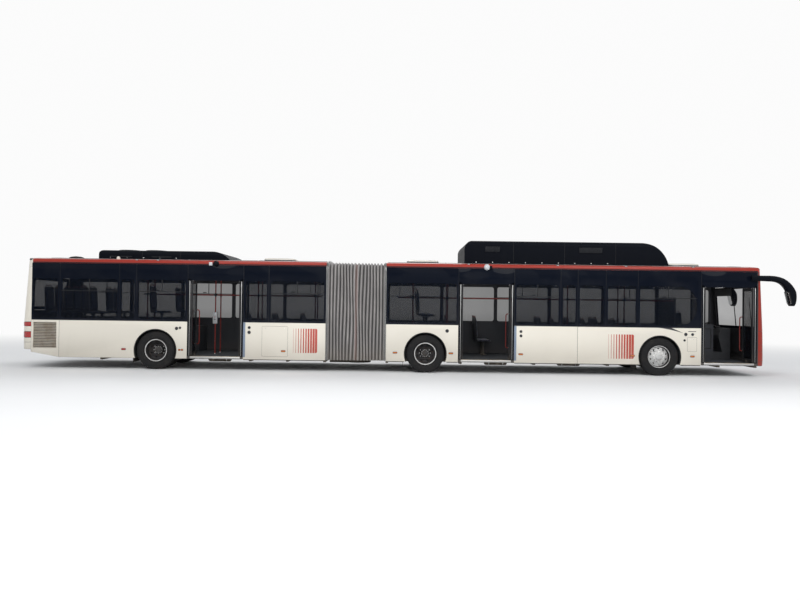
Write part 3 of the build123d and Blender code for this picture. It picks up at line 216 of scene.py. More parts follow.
class Value:
    """A shader socket that can be added, multiplied and compared as a number."""

    def __init__(self, graph, socket):
        self.graph = graph
        self.socket = socket

    __add__, __radd__ = maths("ADD"), maths("ADD", True)
    __sub__, __rsub__ = maths("SUBTRACT"), maths("SUBTRACT", True)
    __mul__, __rmul__ = maths("MULTIPLY"), maths("MULTIPLY", True)
    __truediv__, __pow__, __mod__ = maths("DIVIDE"), maths("POWER"), maths("FLOORED_MODULO")
    __gt__, __lt__, __abs__ = maths("GREATER_THAN"), maths("LESS_THAN"), maths("ABSOLUTE")
    sine, most, least = maths("SINE"), maths("MAXIMUM"), maths("MINIMUM")

    def ramp(self, start, end):
        """0 at start, 1 at end, smooth between."""
        return self.graph.node(
            "ShaderNodeMapRange", {"interpolation_type": "SMOOTHSTEP"}, self, start, end, 0.0, 1.0
        )

    def near(self, centre, reach):
        """1 within a distance of a centre."""
        return abs(self - centre) < reach


class Nodes:
    """Node tree of a material or of the surroundings."""

    def __init__(self, owner):
        owner.use_nodes = True
        self.tree = owner.node_tree
        self.tree.nodes.clear()

    def raw(self, kind, settings, *values, **named):
        node = self.tree.nodes.new(kind)
        for key, value in settings.items():
            setattr(node, key, value)
        pairs = [(node.inputs[i], value) for i, value in enumerate(values)]
        pairs += [(node.inputs[key.replace("_", " ")], value) for key, value in named.items()]
        for socket, value in pairs:
            if isinstance(value, Value):
                self.tree.links.new(value.socket, socket)
            elif value is not None:
                socket.default_value = value
        return node

    def node(self, kind, settings=None, *values, output=0, **named):
        node = self.raw(kind, settings or {}, *values, **named)
        return Value(self, node.outputs[output])


class Graph(Nodes):
    """Node tree of one material, with the place on the object at hand."""

    def __init__(self, name):
        self.material = bpy.data.materials.new(name)
        super().__init__(self.material)
        self.place = self.node("ShaderNodeTexCoord", output="Object")
        parts = self.raw("ShaderNodeSeparateXYZ", {}, self.place)
        self.x, self.y, self.z = [Value(self, parts.outputs[i]) for i in range(3)]

    def noise_at(self, scale, detail=3.0, stretch=(1, 1, 1)):
        """Soft noise from 0 to 1, stretched along an axis when asked."""
        place = self.node("ShaderNodeVectorMath", {"operation": "MULTIPLY"}, self.place, stretch)
        return self.node("ShaderNodeTexNoise", {}, Vector=place, Scale=scale, Detail=detail)

    def mix(self, factor, first, second):
        """Colour between two colours."""
        pair = [value if isinstance(value, Value) else (*value, 1.0) for value in (first, second)]
        return self.node(
            "ShaderNodeMix", {"data_type": "RGBA"}, factor, None, None, None, None, None, *pair, output=2
        )

    def bump(self, height, distance, strength=1.0):
        return self.node("ShaderNodeBump", {}, Strength=strength, Distance=distance, Height=height)

    def surface(self, colour, roughness, normal=None, see=None, **constants):
        """Principled surface, laid over clear when see is given, and the material's output."""
        if not isinstance(colour, Value):
            colour = (*colour, 1.0)
        result = self.node(
            "ShaderNodeBsdfPrincipled", {}, Base_Color=colour, Roughness=roughness, Normal=normal, **constants
        )
        if see is not None:
            clear = self.node("ShaderNodeBsdfTransparent", {})
            result = self.node("ShaderNodeMixShader", {}, see, result, clear)
        self.raw("ShaderNodeOutputMaterial", {}, result)
        return self.material


MATERIALS = {}


def toned(colour, factor):
    """Colour made darker or lighter."""
    return tuple(min(1, v * factor) for v in colour)


def grime(g, colour, amount=0.55, top=1.3):
    """Dust that gathers low on the body and in faint streaks down it."""
    dust = tuple(bpy.context.scene.bus_colours.dust)
    streaks = g.noise_at(2.2, 4.0, (2.6, 2.6, 0.35))
    cloud = g.noise_at(1.1, 5.0)
    height = 1.0 - g.z.ramp(0.22, top)
    spread = (height * height * (0.35 + cloud * 0.9) + streaks.ramp(0.56, 0.80) * 0.10) * amount
    return g.mix(spread.least(0.85), colour, dust), spread


def paint(name, colour, amount=0.5, coat=0.55, rough=0.26, decals=(), gloss=0.5, ior=1.5):
    g = Graph(name)
    shade = g.noise_at(0.6, 2.0)
    base = g.mix(shade, toned(colour, 0.95), toned(colour, 1.04))
    for mask, over in decals:
        base = g.mix(mask(g), base, over)
    base, spread = grime(g, base, amount)
    peel = g.noise_at(60.0, 2.0)
    fine = g.noise_at(9.0, 3.0)
    return g.surface(
        base, (rough + fine * 0.10 + spread * 0.45).least(0.9), g.bump(peel, 0.0004, 0.25),
        Coat_Weight=coat, Coat_Roughness=0.08, Specular_IOR_Level=gloss, IOR=ior,
    )


def moulded(name, colour, rough=0.5, grain=160.0, depth=0.0006, metal=0.0, amount=0.15, vary=0.18):
    """Plastic, rubber or painted metal with a fine grain and uneven tone."""
    g = Graph(name)
    tone = g.noise_at(3.0, 4.0)
    base = g.mix(tone, toned(colour, 1 - vary), toned(colour, 1 + vary))
    base, spread = grime(g, base, amount, 1.0)
    grains = g.noise_at(grain, 2.0)
    return g.surface(
        base, (rough - 0.08 + tone * 0.16 + spread * 0.3).least(0.95), g.bump(grains, depth, 0.5),
        Metallic=metal, Specular_IOR_Level=0.3,
    )


def glass(name, colour, see, rough=0.03):
    """Tinted pane that shows a little of what is behind it."""
    g = Graph(name)
    haze = g.noise_at(1.4, 5.0)
    smear = g.noise_at(5.0, 3.0, (1.0, 1.0, 0.3))
    dust = 1.0 - g.z.ramp(1.2, 1.6)
    tone = g.mix((haze.ramp(0.45, 0.8) * 0.02 + dust * 0.015), colour, (0.30, 0.29, 0.27))
    return g.surface(
        tone, rough + smear.ramp(0.5, 0.85) * 0.09, None, (see - haze * 0.05 - dust * 0.05) if see else None,
        Specular_IOR_Level=0.05,
    )


def lamp(name, colour, glow=0.0, rough=0.18):
    """Ribbed lamp lens."""
    g = Graph(name)
    ribs = (g.y * 260.0).sine() * 0.5 + (g.z * 300.0).sine() * 0.5
    tone = g.noise_at(14.0, 2.0)
    base = g.mix(tone, toned(colour, 0.75), colour)
    return g.surface(
        base, rough + tone * 0.08, g.bump(ribs, 0.0012, 0.6), Coat_Weight=0.8, Coat_Roughness=0.04,
        Emission_Color=(*colour, 1.0), Emission_Strength=glow,
    )


def stripes(x0, x1, z0, z1, count=10):
    """Mask of upright bars on the right side that widen forwards and end in a rounded block."""
    pitch = (x1 - x0) / count

    def mask(g):
        along = (g.x - x0) / pitch
        index = along - along % 1.0
        width = 0.10 + index * 0.095
        bar = (along % 1.0) < width
        round_off = 0.045
        dx = (g.x - (x1 - round_off)).most(0.0)
        dz = (abs(g.z - (z0 + z1) / 2) - ((z1 - z0) / 2 - round_off)).most(0.0)
        body = ((dx * dx + dz * dz) ** 0.5) < round_off
        return bar * body * (g.x > x0) * (g.y < -1.0)

    return mask


def fin(x0, x1, drop):
    """Mask of a fin that falls from the waist to a tip, on the right side."""
    def mask(g):
        share = (g.x - x0) / (x1 - x0)
        edge = WAIST_Z - drop * share.most(0.0) ** 1.5
        over = WAIST_Z + 0.01 - (drop + 0.006) * ((share - 0.52) / 0.48).most(0.0) ** 1.1
        return (g.z > edge) * (g.z < over) * (g.x > x0) * (g.x < x1) * (g.y < -1.0)

    return mask


def painted_blocks():
    red = (0.46, 0.042, 0.020)
    return [
        (fin(FRONT_AXLE_X - 0.10, FRONT_AXLE_X + 0.57, 0.125), (0.010, 0.011, 0.014)),
        (stripes(PIVOT_X - 1.562, PIVOT_X - 0.958, 0.46, 1.07), red),
        (stripes(FRONT_AXLE_X - 1.29, FRONT_AXLE_X - 0.65, 0.42, 1.03), red),
    ]


def make_materials():
    c = bpy.context.scene.bus_colours
    white, red, black, rubber = tuple(c.white), tuple(c.red), tuple(c.black), tuple(c.rubber)
    m = MATERIALS
    m["white"] = paint("white_side_paint", white, 0.34, 0.35, 0.30, painted_blocks())
    m["tail"] = paint("white_tail_paint", white, 0.42, 0.35, 0.30)
    m["red"] = paint("red_paint", red, 0.16, 0.10, gloss=0.25)
    m["black"] = paint("black_gloss_paint", black, 0.05, 0.0, 0.30, gloss=0.3, ior=1.2)
    m["cover"] = paint("black_roof_cover_paint", black, 0.04, 0.0, 0.42, gloss=0.3, ior=1.16)
    m["roof"] = moulded("roof_skin_paint", tuple(c.roof), 0.42, 40.0, 0.0008, amount=0.10)
    m["frit"] = glass("black_glass_border", (0.004, 0.006, 0.012), 0)
    m["glass"] = glass("tinted_glass", tuple(c.glass), 0.50)
    m["clear"] = glass("windscreen_glass", (0.012, 0.016, 0.020), 0.66)
    m["rubber"] = moulded("seal_rubber", rubber, 0.62, 220.0, 0.0004)
    m["plastic"] = moulded("dark_plastic", (0.030, 0.031, 0.034), 0.5, 260.0, 0.0005)
    m["lining"] = moulded("wall_lining", tuple(c.lining), 0.55, 320.0, 0.0004, amount=0.05, vary=0.06)
    m["ceiling"] = moulded("ceiling_panel", (0.16, 0.16, 0.155), 0.5, 180.0, 0.0003, amount=0.0, vary=0.04)
    m["steel"] = moulded("chassis_paint", tuple(c.steel), 0.55, 90.0, 0.0012, 0.1, 0.8, 0.3)
    m["alloy"] = moulded("brushed_alloy", tuple(c.alloy), 0.30, 420.0, 0.0003, 0.9, 0.25, 0.10)
    m["chrome"] = moulded("polished_steel", (0.70, 0.70, 0.69), 0.16, 60.0, 0.0002, 1.0, 0.2, 0.08)
    m["shell"] = moulded("seat_shell_plastic", (0.060, 0.065, 0.075), 0.42, 240.0, 0.0004, amount=0.05)
    m["amber"] = lamp("amber_lens", tuple(c.amber), 0.02)
    m["lamp_red"] = lamp("red_lens", (0.42, 0.014, 0.012), 0.03)
    m["lamp_clear"] = lamp("clear_lens", (0.62, 0.64, 0.66), 0.0, 0.06)
    m["light"] = lamp("ceiling_light", (0.92, 0.93, 0.90), 0.9)
    m["engine"] = moulded("engine_iron", (0.10, 0.105, 0.11), 0.6, 30.0, 0.006, 0.3, 1.2, 0.4)
    m["tyre"] = tyre_material(rubber)
    m["rim"] = rim_material(tuple(c.alloy))
    m["hub"] = rim_material((0.055, 0.055, 0.055), "hub_iron", 0.52)
    m["dark_rim"] = rim_material((0.040, 0.040, 0.042), "dark_rim_paint", 0.55)
    m["cloth"] = bellows_material(tuple(c.cloth))
    m["seat"] = seat_material(tuple(c.seat))
    m["floor"] = floor_material(tuple(c.floor))
    m["wall"] = wall_material(tuple(c.lining))
    m["cab"] = cab_material(tuple(c.lining))
    m["rail"] = rail_material(tuple(c.rail))
    m["alloy_dark"] = moulded(
        "dark_anodised_alloy", (0.045, 0.046, 0.050), 0.38, 420.0, 0.0003, 0.6, 0.15, 0.12
    )
    # Strip beside the doorways: its blue-grey colour is a painted sky reflection on its bevelled face
    m["bevel"] = moulded("trim_painted_sky_reflection", (0.20, 0.25, 0.33), 0.4, 200.0, 0.0003, amount=0.2)
    m["roof_skin"] = roof_material(tuple(c.roof), red, white)
    m["ticket"] = moulded("grey_box_paint", (0.45, 0.46, 0.47), 0.4, 200.0, 0.0003, amount=0.05)
    m["yellow"] = moulded("warning_yellow", (0.70, 0.42, 0.02), 0.45, 120.0, 0.0004, amount=0.2)


def tyre_material(colour):
    """Rubber, browner and dustier low on the wall, with faint rings and cracks."""
    g = Graph("tyre_rubber")
    tone = g.noise_at(7.0, 5.0)
    fine = g.noise_at(120.0, 3.0)
    scuffs = g.noise_at(26.0, 6.0).ramp(0.55, 0.75)
    base = g.mix(tone.ramp(0.35, 0.8) * 0.5, colour, (0.030, 0.027, 0.024))
    base = g.mix(scuffs * 0.2, base, (0.060, 0.055, 0.048))
    return g.surface(base, 0.72 + tone * 0.2, g.bump(fine, 0.001, 0.6), Specular_IOR_Level=0.25)


def rim_material(colour, name="rim_silver", rough=0.34):
    """Painted wheel steel with brake dust and specks of rust."""
    g = Graph(name)
    dust = g.noise_at(9.0, 5.0)
    rust = g.noise_at(38.0, 6.0).ramp(0.62, 0.72)
    base = g.mix(dust.ramp(0.4, 0.85) * 0.6, colour, (0.085, 0.062, 0.045))
    base = g.mix(rust * 0.7, base, (0.16, 0.055, 0.022))
    return g.surface(
        base, (rough + dust * 0.25 + rust * 0.3).least(0.95), g.bump(dust, 0.001, 0.4),
        Metallic=0.55 - rust * 0.4
    )


def bellows_material(colour):
    """Coated cloth: fine weave, painted shade in the valleys, painted highlight on the ridges with worn
    patches there, and one reddish fold.
    """
    g = Graph("bellows_coated_cloth")
    depth = g.node("ShaderNodeAttribute", {"attribute_name": "fold"}, output="Fac")
    weave = (g.z * 1800.0).sine() * (g.x * 1800.0).sine()
    worn = g.noise_at(3.5, 5.0, (1.0, 1.0, 0.5))
    fine = g.noise_at(45.0, 3.0)
    # Painted shade and highlight: the fold height darkens the valleys and lightens the ridges
    base = g.mix(depth, toned(colour, 0.16), toned(colour, 1.5))
    # Paler patches on the ridges: worn cloth, with painted highlight where the ridges face the light
    base = g.mix(depth * worn.ramp(0.4, 0.75) * 0.5, base, (0.42, 0.40, 0.38))
    centre = g.x.near(PIVOT_X, 0.03) * 0.40
    base = g.mix(centre, base, (0.38, 0.23, 0.20))
    base, _ = grime(g, base, 0.5, 1.0)
    return g.surface(
        base, (0.62 + fine * 0.22).least(0.95), g.bump(weave * 0.4 + fine, 0.0008, 0.5), Sheen_Weight=0.15
    )


def seat_material(colour):
    """Woven seat cloth with a small check of two blues and flecks."""
    g = Graph("woven_seat_cloth")
    warp = (g.x * 2400.0).sine()
    weft = (g.y * 2400.0).sine() + (g.z * 2400.0).sine() * 0.7
    check = (
        (g.y * 52.0).sine() * (g.z * 52.0).sine() + (g.x * 52.0).sine() * (g.y * 52.0).sine()
    ).ramp(-0.1, 0.3)
    fleck = g.noise_at(190.0, 1.0).ramp(0.66, 0.70)
    worn = g.noise_at(4.0, 4.0)
    base = g.mix(check * 0.7, toned(colour, 0.6), toned(colour, 1.7))
    base = g.mix(fleck * 0.8, base, (0.36, 0.07, 0.05))
    base = g.mix(worn.ramp(0.5, 0.9) * 0.3, base, (0.12, 0.13, 0.16))
    return g.surface(base, 0.78 + worn * 0.15, g.bump(warp * weft, 0.0009, 0.6), Sheen_Weight=0.4)


def floor_material(colour):
    """Non-slip floor covering with bright specks and worn paths."""
    g = Graph("speckled_floor")
    speck = g.noise_at(230.0, 1.0).ramp(0.64, 0.68)
    worn = g.noise_at(1.6, 5.0)
    base = g.mix(speck * 0.3, colour, (0.20, 0.21, 0.235))
    base = g.mix(worn.ramp(0.45, 0.85) * 0.3, base, (0.105, 0.100, 0.092))
    return g.surface(base, 0.50 + worn * 0.3, g.bump(speck, 0.0006, 0.5))


def roof_material(top, red, white):
    """Roof skin: grey, with red edges and front, a white tail, and a lining inside."""
    g = Graph("roof_skin_and_edges")
    tone = g.noise_at(1.3, 5.0)
    fine = g.noise_at(60.0, 2.0)
    base = g.mix(tone, toned(top, 0.82), toned(top, 1.08))
    dirt = g.noise_at(4.0, 5.0, (0.4, 1.0, 1.0)).ramp(0.5, 0.8)
    base = g.mix(dirt * 0.35, base, (0.23, 0.21, 0.18))
    edge = (abs(g.y) > 1.10).most(g.x > (NOSE_X0 - 0.16))
    base = g.mix(edge, base, red)
    base = g.mix(g.x < (TAIL_X1 + 0.02), base, white)
    base = g.mix((g.x < (TAIL_X1 - 0.02)) * (g.z > 2.70), base, (0.014, 0.015, 0.017))
    inside = (g.z < (2.72 - 0.058 * g.y * g.y)) * (abs(g.y) < 1.20) * (g.x < (NOSE_X0 - 0.1))
    base = g.mix(inside, base, (0.13, 0.13, 0.128))
    return g.surface(base, 0.36 + tone * 0.2, g.bump(fine, 0.0004, 0.3), Coat_Weight=0.15)


def wall_material(lining):
    """Body wall: dark where its outer face shows in joints, lined inside."""
    g = Graph("body_wall")
    outer = abs(g.y) > (HALF - 0.012)
    tone = g.noise_at(2.0, 4.0)
    inner = g.mix(tone, toned(lining, 0.9), toned(lining, 1.05))
    base = g.mix(outer, inner, (0.020, 0.020, 0.022))
    x0, x1, z0, z1 = LOUVRE
    vent = g.x.near((x0 + x1) / 2, (x1 - x0) / 2 + 0.004) * g.z.near((z0 + z1) / 2, (z1 - z0) / 2 + 0.004)
    # Cream slats mottled with brown; the brown is painted shade between the slats
    slats_and_painted_shade = g.mix(g.noise_at(7.0, 4.0).ramp(0.35, 0.75), (0.66, 0.60, 0.51), (0.50, 0.41, 0.31))
    base = g.mix(vent * (g.y < (0.055 - HALF)) * (g.y > (0.0005 - HALF)), base, slats_and_painted_shade)
    base, _ = grime(g, base, 0.25, 0.9)
    grain = g.noise_at(260.0, 2.0)
    return g.surface(base, 0.5 + tone * 0.15, g.bump(grain, 0.0004, 0.4))


def cab_material(lining):
    """Driver's place: dark dashboard and platform, pale partition."""
    g = Graph("cab_panels")
    dark = (g.x > (NOSE_X0 - 0.40)).most(g.z < (FLOOR_Z + 0.21))
    tone = g.noise_at(3.0, 4.0)
    pale = g.mix(tone, toned(lining, 0.88), toned(lining, 1.04))
    base = g.mix(dark, pale, g.mix(tone, (0.028, 0.030, 0.034), (0.048, 0.050, 0.056)))
    grain = g.noise_at(240.0, 2.0)
    return g.surface(base, 0.46 + tone * 0.16, g.bump(grain, 0.0005, 0.5))


def rail_material(red):
    """Red coated rails, with the grey ticket box on its pole."""
    g = Graph("rail_coating")
    tone = g.noise_at(3.0, 4.0)
    base = g.mix(tone, toned(red, 0.92), toned(red, 1.08))
    worn = g.noise_at(11.0, 4.0).ramp(0.62, 0.8) * (1.0 - g.z.ramp(0.9, 1.5))
    base = g.mix(worn * 0.35, base, (0.34, 0.24, 0.20))
    boxed = g.x.near(TICKET_X, 0.06) * g.y.near(-0.26, 0.045) * g.z.near(1.29, 0.1405)
    base = g.mix(boxed, base, g.mix(tone, (0.40, 0.41, 0.42), (0.50, 0.51, 0.52)))
    grain = g.noise_at(300.0, 2.0)
    return g.surface(base, 0.27 + tone * 0.10, g.bump(grain, 0.0003, 0.5))


# Forms
def arc(cx, cy, radius, start, end, count):
    """Points of an arc from one angle in degrees to another."""
    step = (end - start) / count
    angles = [radians(start + step * i) for i in range(count + 1)]
    return [(cx + radius * cos(a), cy + radius * sin(a)) for a in angles]


def washer(inner, outer, start, end):
    """Outline of a ring, or of a disc when its inner radius is 0."""
    return ((inner, start), (outer, start), (outer, end), (inner, end))


def round_head(radius, start, shoulder, top_radius, top):
    """Outline of a round head with a sloping edge."""
    return ((0, start), (radius, start), (radius, shoulder), (top_radius, top), (0, top))


def rounded(x0, x1, y0, y1, radius, count=5):
    """Rectangle with round corners, counter-clockwise."""
    r = min(radius, (x1 - x0) / 2.01, (y1 - y0) / 2.01)
    return (
        arc(x1 - r, y0 + r, r, -90, 0, count) + arc(x1 - r, y1 - r, r, 0, 90, count)
        + arc(x0 + r, y1 - r, r, 90, 180, count) + arc(x0 + r, y0 + r, r, 180, 270, count)
    )


def inset(loop, distance):
    """A counter-clockwise loop moved inwards, or a clockwise hole moved outwards."""
    points = np.array(loop, float)
    before = points - np.roll(points, 1, 0)
    after = np.roll(points, -1, 0) - points
    before /= np.linalg.norm(before, axis=1)[:, None]
    after /= np.linalg.norm(after, axis=1)[:, None]
    left = np.stack([-before[:, 1] - after[:, 1], before[:, 0] + after[:, 0]], 1)
    scale = 1 + np.sum(before * after, 1)
    return [tuple(p) for p in points + left * (distance / np.maximum(scale, 0.4))[:, None]]


def on_side(side):
    """Maps (x, z) and a height off the centre line to a place on a side."""
    return lambda p, w: (p[0], side * w, p[1])


def on_flat(p, w):
    """Maps (x, y) and a height."""
    return (p[0], p[1], w)


def corners_of(mesh):
    points = np.zeros(len(mesh.vertices) * 3)
    mesh.vertices.foreach_get("co", points)
    return points.reshape(-1, 3)


def remade(mesh, kind, inputs=(), **settings):
    """Mesh after one modifier; the one given is used up."""
    holder = bpy.data.objects.new("remade", mesh)
    bpy.context.scene.collection.objects.link(holder)
    modifier = holder.modifiers.new("change", kind)
    for key, value in settings.items():
        setattr(modifier, key, value)
    for key, value in inputs:
        modifier[key] = value
    graph = bpy.context.evaluated_depsgraph_get()
    made = bpy.data.meshes.new_from_object(holder.evaluated_get(graph), depsgraph=graph)
    bpy.data.objects.remove(holder)
    bpy.data.meshes.remove(mesh)
    return made


class Piece:
    """Corners and faces of one piece, gathered before it becomes an object."""

    def __init__(self, name, *materials):
        self.name = name
        self.materials = list(materials)
        self.verts = []
        self.faces = []
        self.slots = []
        self.count = 0

    def add(self, verts, faces, material=0):
        """Adds one closed shape and turns its faces outwards."""
        points = np.array(verts, float)
        middle_point = points.mean(0)
        volume = 0.0
        for face in faces:
            first = points[face[0]] - middle_point
            for i in range(1, len(face) - 1):
                volume += np.dot(
                    first, np.cross(points[face[i]] - middle_point, points[face[i + 1]] - middle_point)
                )
        base = self.count
        self.verts.append(points)
        for face in faces:
            face = [base + i for i in face]
            self.faces.append(face[::-1] if volume < 0 else face)
        self.slots += [material] * len(faces)
        self.count += len(points)
        return self

    def absorb(self, mesh, material=0):
        """Adds a finished mesh as it is."""
        base = self.count
        self.verts.append(corners_of(mesh))
        self.faces += [[base + i for i in p.vertices] for p in mesh.polygons]
        self.slots += [material] * len(mesh.polygons)
        self.count += len(mesh.vertices)
        bpy.data.meshes.remove(mesh)
        return self

    def loft(self, loops, material=0, closed=False):
        """Skin over loops of equally many corners, capped at both ends unless closed."""
        size = len(loops[0])
        verts = [p for loop in loops for p in loop]
        rings = len(loops)
        faces = []
        for r in range(rings if closed else rings - 1):
            a, b = r * size, ((r + 1) % rings) * size
            faces += [(a + i, a + (i + 1) % size, b + (i + 1) % size, b + i) for i in range(size)]
        if not closed:
            faces += [tuple(range(size))[::-1], tuple(range((rings - 1) * size, rings * size))]
        return self.add(verts, faces, material)

    def slab(self, outline, place, low_w, high_w, edge=0.003, holes=(), material=0):
        """Flat plate with rounded edges on its high face, cut by holes given clockwise."""
        way = 1 if high_w > low_w else -1
        levels = [
            (0.0, low_w), (0.0, high_w - way * edge), (edge * 0.3, high_w - way * edge * 0.3), (edge, high_w)
        ]
        loops = [list(outline)] + [list(h) for h in holes]
        verts, faces = [], []
        bottom, top = [], []
        for loop in loops:
            size = len(loop)
            start = len(verts)
            for step, w in levels:
                verts += [place(p, w) for p in (inset(loop, step) if step else loop)]
            for r in range(len(levels) - 1):
                a = start + r * size
                faces += [
                    (a + i, a + (i + 1) % size, a + size + (i + 1) % size, a + size + i) for i in range(size)
                ]
            bottom += range(start, start + size)
            top += range(start + (len(levels) - 1) * size, start + len(levels) * size)
        flat = [[Vector((p[0], p[1], 0)) for p in loop] for loop in loops]
        for a, b, c in tessellate_polygon(flat):
            faces.append((bottom[a], bottom[b], bottom[c]))
            faces.append((top[c], top[b], top[a]))
        return self.oriented(verts, faces, material)

    def oriented(self, verts, faces, material=0):
        """Adds a shape whose faces are first made to agree with each other."""
        mesh = bmesh.new()
        made = [mesh.verts.new(v) for v in verts]
        for face in faces:
            if len(set(face)) == len(face):
                try:
                    mesh.faces.new([made[i] for i in face])
                except ValueError:
                    continue
        bmesh.ops.recalc_face_normals(mesh, faces=mesh.faces)
        mesh.verts.index_update()
        self.add([v.co[:] for v in mesh.verts], [[v.index for v in f.verts] for f in mesh.faces], material)
        mesh.free()
        return self

    def box(self, corner, opposite, radius=0.004, material=0, turn=None):
        """Box with rounded edges between two corners, turned about its centre when asked."""
        a, b = np.minimum(corner, opposite), np.maximum(corner, opposite)
        half, centre = (b - a) / 2, (a + b) / 2
        r = min(radius, *(half * 0.98))
        steps = (-1.0, -0.55, 0.55, 1.0)
        index, verts, faces = {}, [], []
        for axis in range(3):
            u_axis, v_axis = (axis + 1) % 3, (axis + 2) % 3
            for sign in (-1.0, 1.0):
                grid = []
                for u in steps:
                    row = []
                    for v in steps:
                        cube = [0.0, 0.0, 0.0]
                        cube[axis], cube[u_axis], cube[v_axis] = sign, u, v
                        key = tuple(cube)
                        if key not in index:
                            ball = np.array(cube) / np.linalg.norm(cube)
                            index[key] = len(verts)
                            verts.append(np.sign(cube) * (half - r) + r * ball)
                        row.append(index[key])
                    grid.append(row)
                for i in range(3):
                    for j in range(3):
                        quad = (grid[i][j], grid[i + 1][j], grid[i + 1][j + 1], grid[i][j + 1])
                        faces.append(quad if sign > 0 else quad[::-1])
        points = np.array(verts)
        if turn is not None:
            points = points @ np.array(turn.to_3x3()).T
        return self.add(points + centre, faces, material)

    def lathe(self, profile, centre, axis="y", side=1, steps=48, material=0):
        """Closed outline of (radius, offset) turned about an axis through a centre."""
        cx, cy, cz = centre
        loops = []
        for i in range(steps):
            a = 2 * pi * i / steps
            loop = []
            for r, o in profile:
                u, v, w = r * cos(a), r * sin(a), o * side
                point = {"y": (u, w, v), "z": (u, v, w), "x": (w, u, v)}[axis]
                loop.append((cx + point[0], cy + point[1], cz + point[2]))
            loops.append(loop)
        return self.loft(loops, material, closed=True)

    def moved(self, matrix):
        """All shapes so far put in another place; a mirrored place turns the faces round again."""
        turn, shift = np.array(matrix.to_3x3()), np.array(matrix.translation)
        self.verts = [v @ turn.T + shift for v in self.verts]
        if matrix.determinant() < 0:
            self.faces = [list(f)[::-1] for f in self.faces]
        return self

    def join(self, other):
        """Takes over another piece's shapes."""
        base = self.count
        self.verts += other.verts
        self.faces += [[base + i for i in f] for f in other.faces]
        self.slots += other.slots
        self.count += other.count
        return self

    def make(self, body=None, slot=None, replaces=(), angle=32.0):
        """The finished object, smooth over shallow edges and riding its body."""
        data = bpy.data.meshes.new(self.name)
        verts = np.concatenate(self.verts)
        data.from_pydata(verts.tolist(), [], self.faces)
        for material in self.materials:
            data.materials.append(MATERIALS[material])
        data.polygons.foreach_set("material_index", self.slots)
        data.polygons.foreach_set("use_smooth", [True] * len(self.faces))
        data.set_sharp_from_angle(angle=radians(angle))
        data.validate()
        made = bpy.data.objects.new(self.name, data)
        bpy.context.scene.collection.objects.link(made)
        return settle(made, body, replaces)


def settle(made, body, replaces=()):
    """Puts an object on its body and hides the CAD parts it replaces."""
    if body:
        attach(made, body)
    if replaces:
        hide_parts(*replaces)
    return made


# Geometry node trees
class Growth:
    """A Geometry Nodes tree with named inputs, run once on a mesh."""

    def __init__(self, name, **inputs):
        self.tree = bpy.data.node_groups.new(name, "GeometryNodeTree")
        face = self.tree.interface
        face.new_socket("Geometry", in_out="OUTPUT", socket_type="NodeSocketGeometry")
        face.new_socket("Geometry", in_out="INPUT", socket_type="NodeSocketGeometry")
        kinds = {float: "NodeSocketFloat", int: "NodeSocketInt", tuple: "NodeSocketVector"}
        self.ids = {}
        for key, value in inputs.items():
            kind = "NodeSocketMaterial" if value is None else kinds[type(value)]
            socket = face.new_socket(key, in_out="INPUT", socket_type=kind)
            if value is not None:
                socket.default_value = value
            self.ids[key] = socket.identifier
        self.entry = self.tree.nodes.new("NodeGroupInput")
        self.exit = self.tree.nodes.new("NodeGroupOutput")

    def given(self, key):
        return self.entry.outputs[key]

    def node(self, kind, settings=None, **links):
        made = self.tree.nodes.new(kind)
        for key, value in (settings or {}).items():
            setattr(made, key, value)
        for key, value in links.items():
            by_number = key[0] == "i" and key[1:].isdigit()
            socket = made.inputs[int(key[1:]) if by_number else key.replace("_", " ")]
            if isinstance(value, bpy.types.NodeSocket):
                self.tree.links.new(value, socket)
            else:
                socket.default_value = value
        return made.outputs[0]

    def close(self, geometry):
        """Ends the tree in real geometry with its material set."""
        real = self.node("GeometryNodeRealizeInstances", i0=geometry)
        done = self.node("GeometryNodeSetMaterial", Geometry=real, Material=self.given("Material"))
        self.tree.links.new(done, self.exit.inputs[0])
        return self

    def run(self, mesh, material, **values):
        """Plain mesh that the tree makes from a mesh."""
        inputs = [(self.ids[key], value) for key, value in values.items()]
        inputs.append((self.ids["Material"], MATERIALS[material]))
        return remade(mesh, "NODES", inputs, node_group=self.tree)


GROWTHS = {}


def make_growths():
    """Trees for tubes along lines, and for copies round an axle or along a row."""
    tube = Growth("Tube along line", Radius=0.016, Bend=0.05, Sides=10, Steps=5, Material=None)
    line = tube.node("GeometryNodeMeshToCurve", Mesh=tube.given("Geometry"))
    bent = tube.node(
        "GeometryNodeFilletCurve", {"mode": "POLY"}, Curve=line, Radius=tube.given("Bend"),
        Count=tube.given("Steps"),
    )
    ring = tube.node(
        "GeometryNodeCurvePrimitiveCircle", Resolution=tube.given("Sides"), Radius=tube.given("Radius")
    )
    skin = tube.node("GeometryNodeCurveToMesh", Curve=bent, i1=ring, Fill_Caps=True)
    GROWTHS["tube"] = tube.close(skin)

    for name, key in (("Copies round axle", "ring"), ("Copies along row", "row")):
        grow = Growth(name, Count=10, Step=(0.0, 0.0, 0.0), Centre=(0.0, 0.0, 0.0), Material=None)
        spots = grow.node("GeometryNodeMeshLine", Count=grow.given("Count"), Offset=(0.0, 0.0, 0.0))
        copies = grow.node("GeometryNodeInstanceOnPoints", Points=spots, Instance=grow.given("Geometry"))
        index = grow.node("GeometryNodeInputIndex")
        move = grow.node("ShaderNodeVectorMath", {"operation": "SCALE"}, i0=grow.given("Step"), Scale=index)
        if key == "ring":
            copies = grow.node(
                "GeometryNodeRotateInstances", Instances=copies, Rotation=move,
                Pivot_Point=grow.given("Centre"), Local_Space=False,
            )
        else:
            copies = grow.node(
                "GeometryNodeTranslateInstances", Instances=copies, Translation=move, Local_Space=False
            )
        GROWTHS[key] = grow.close(copies)


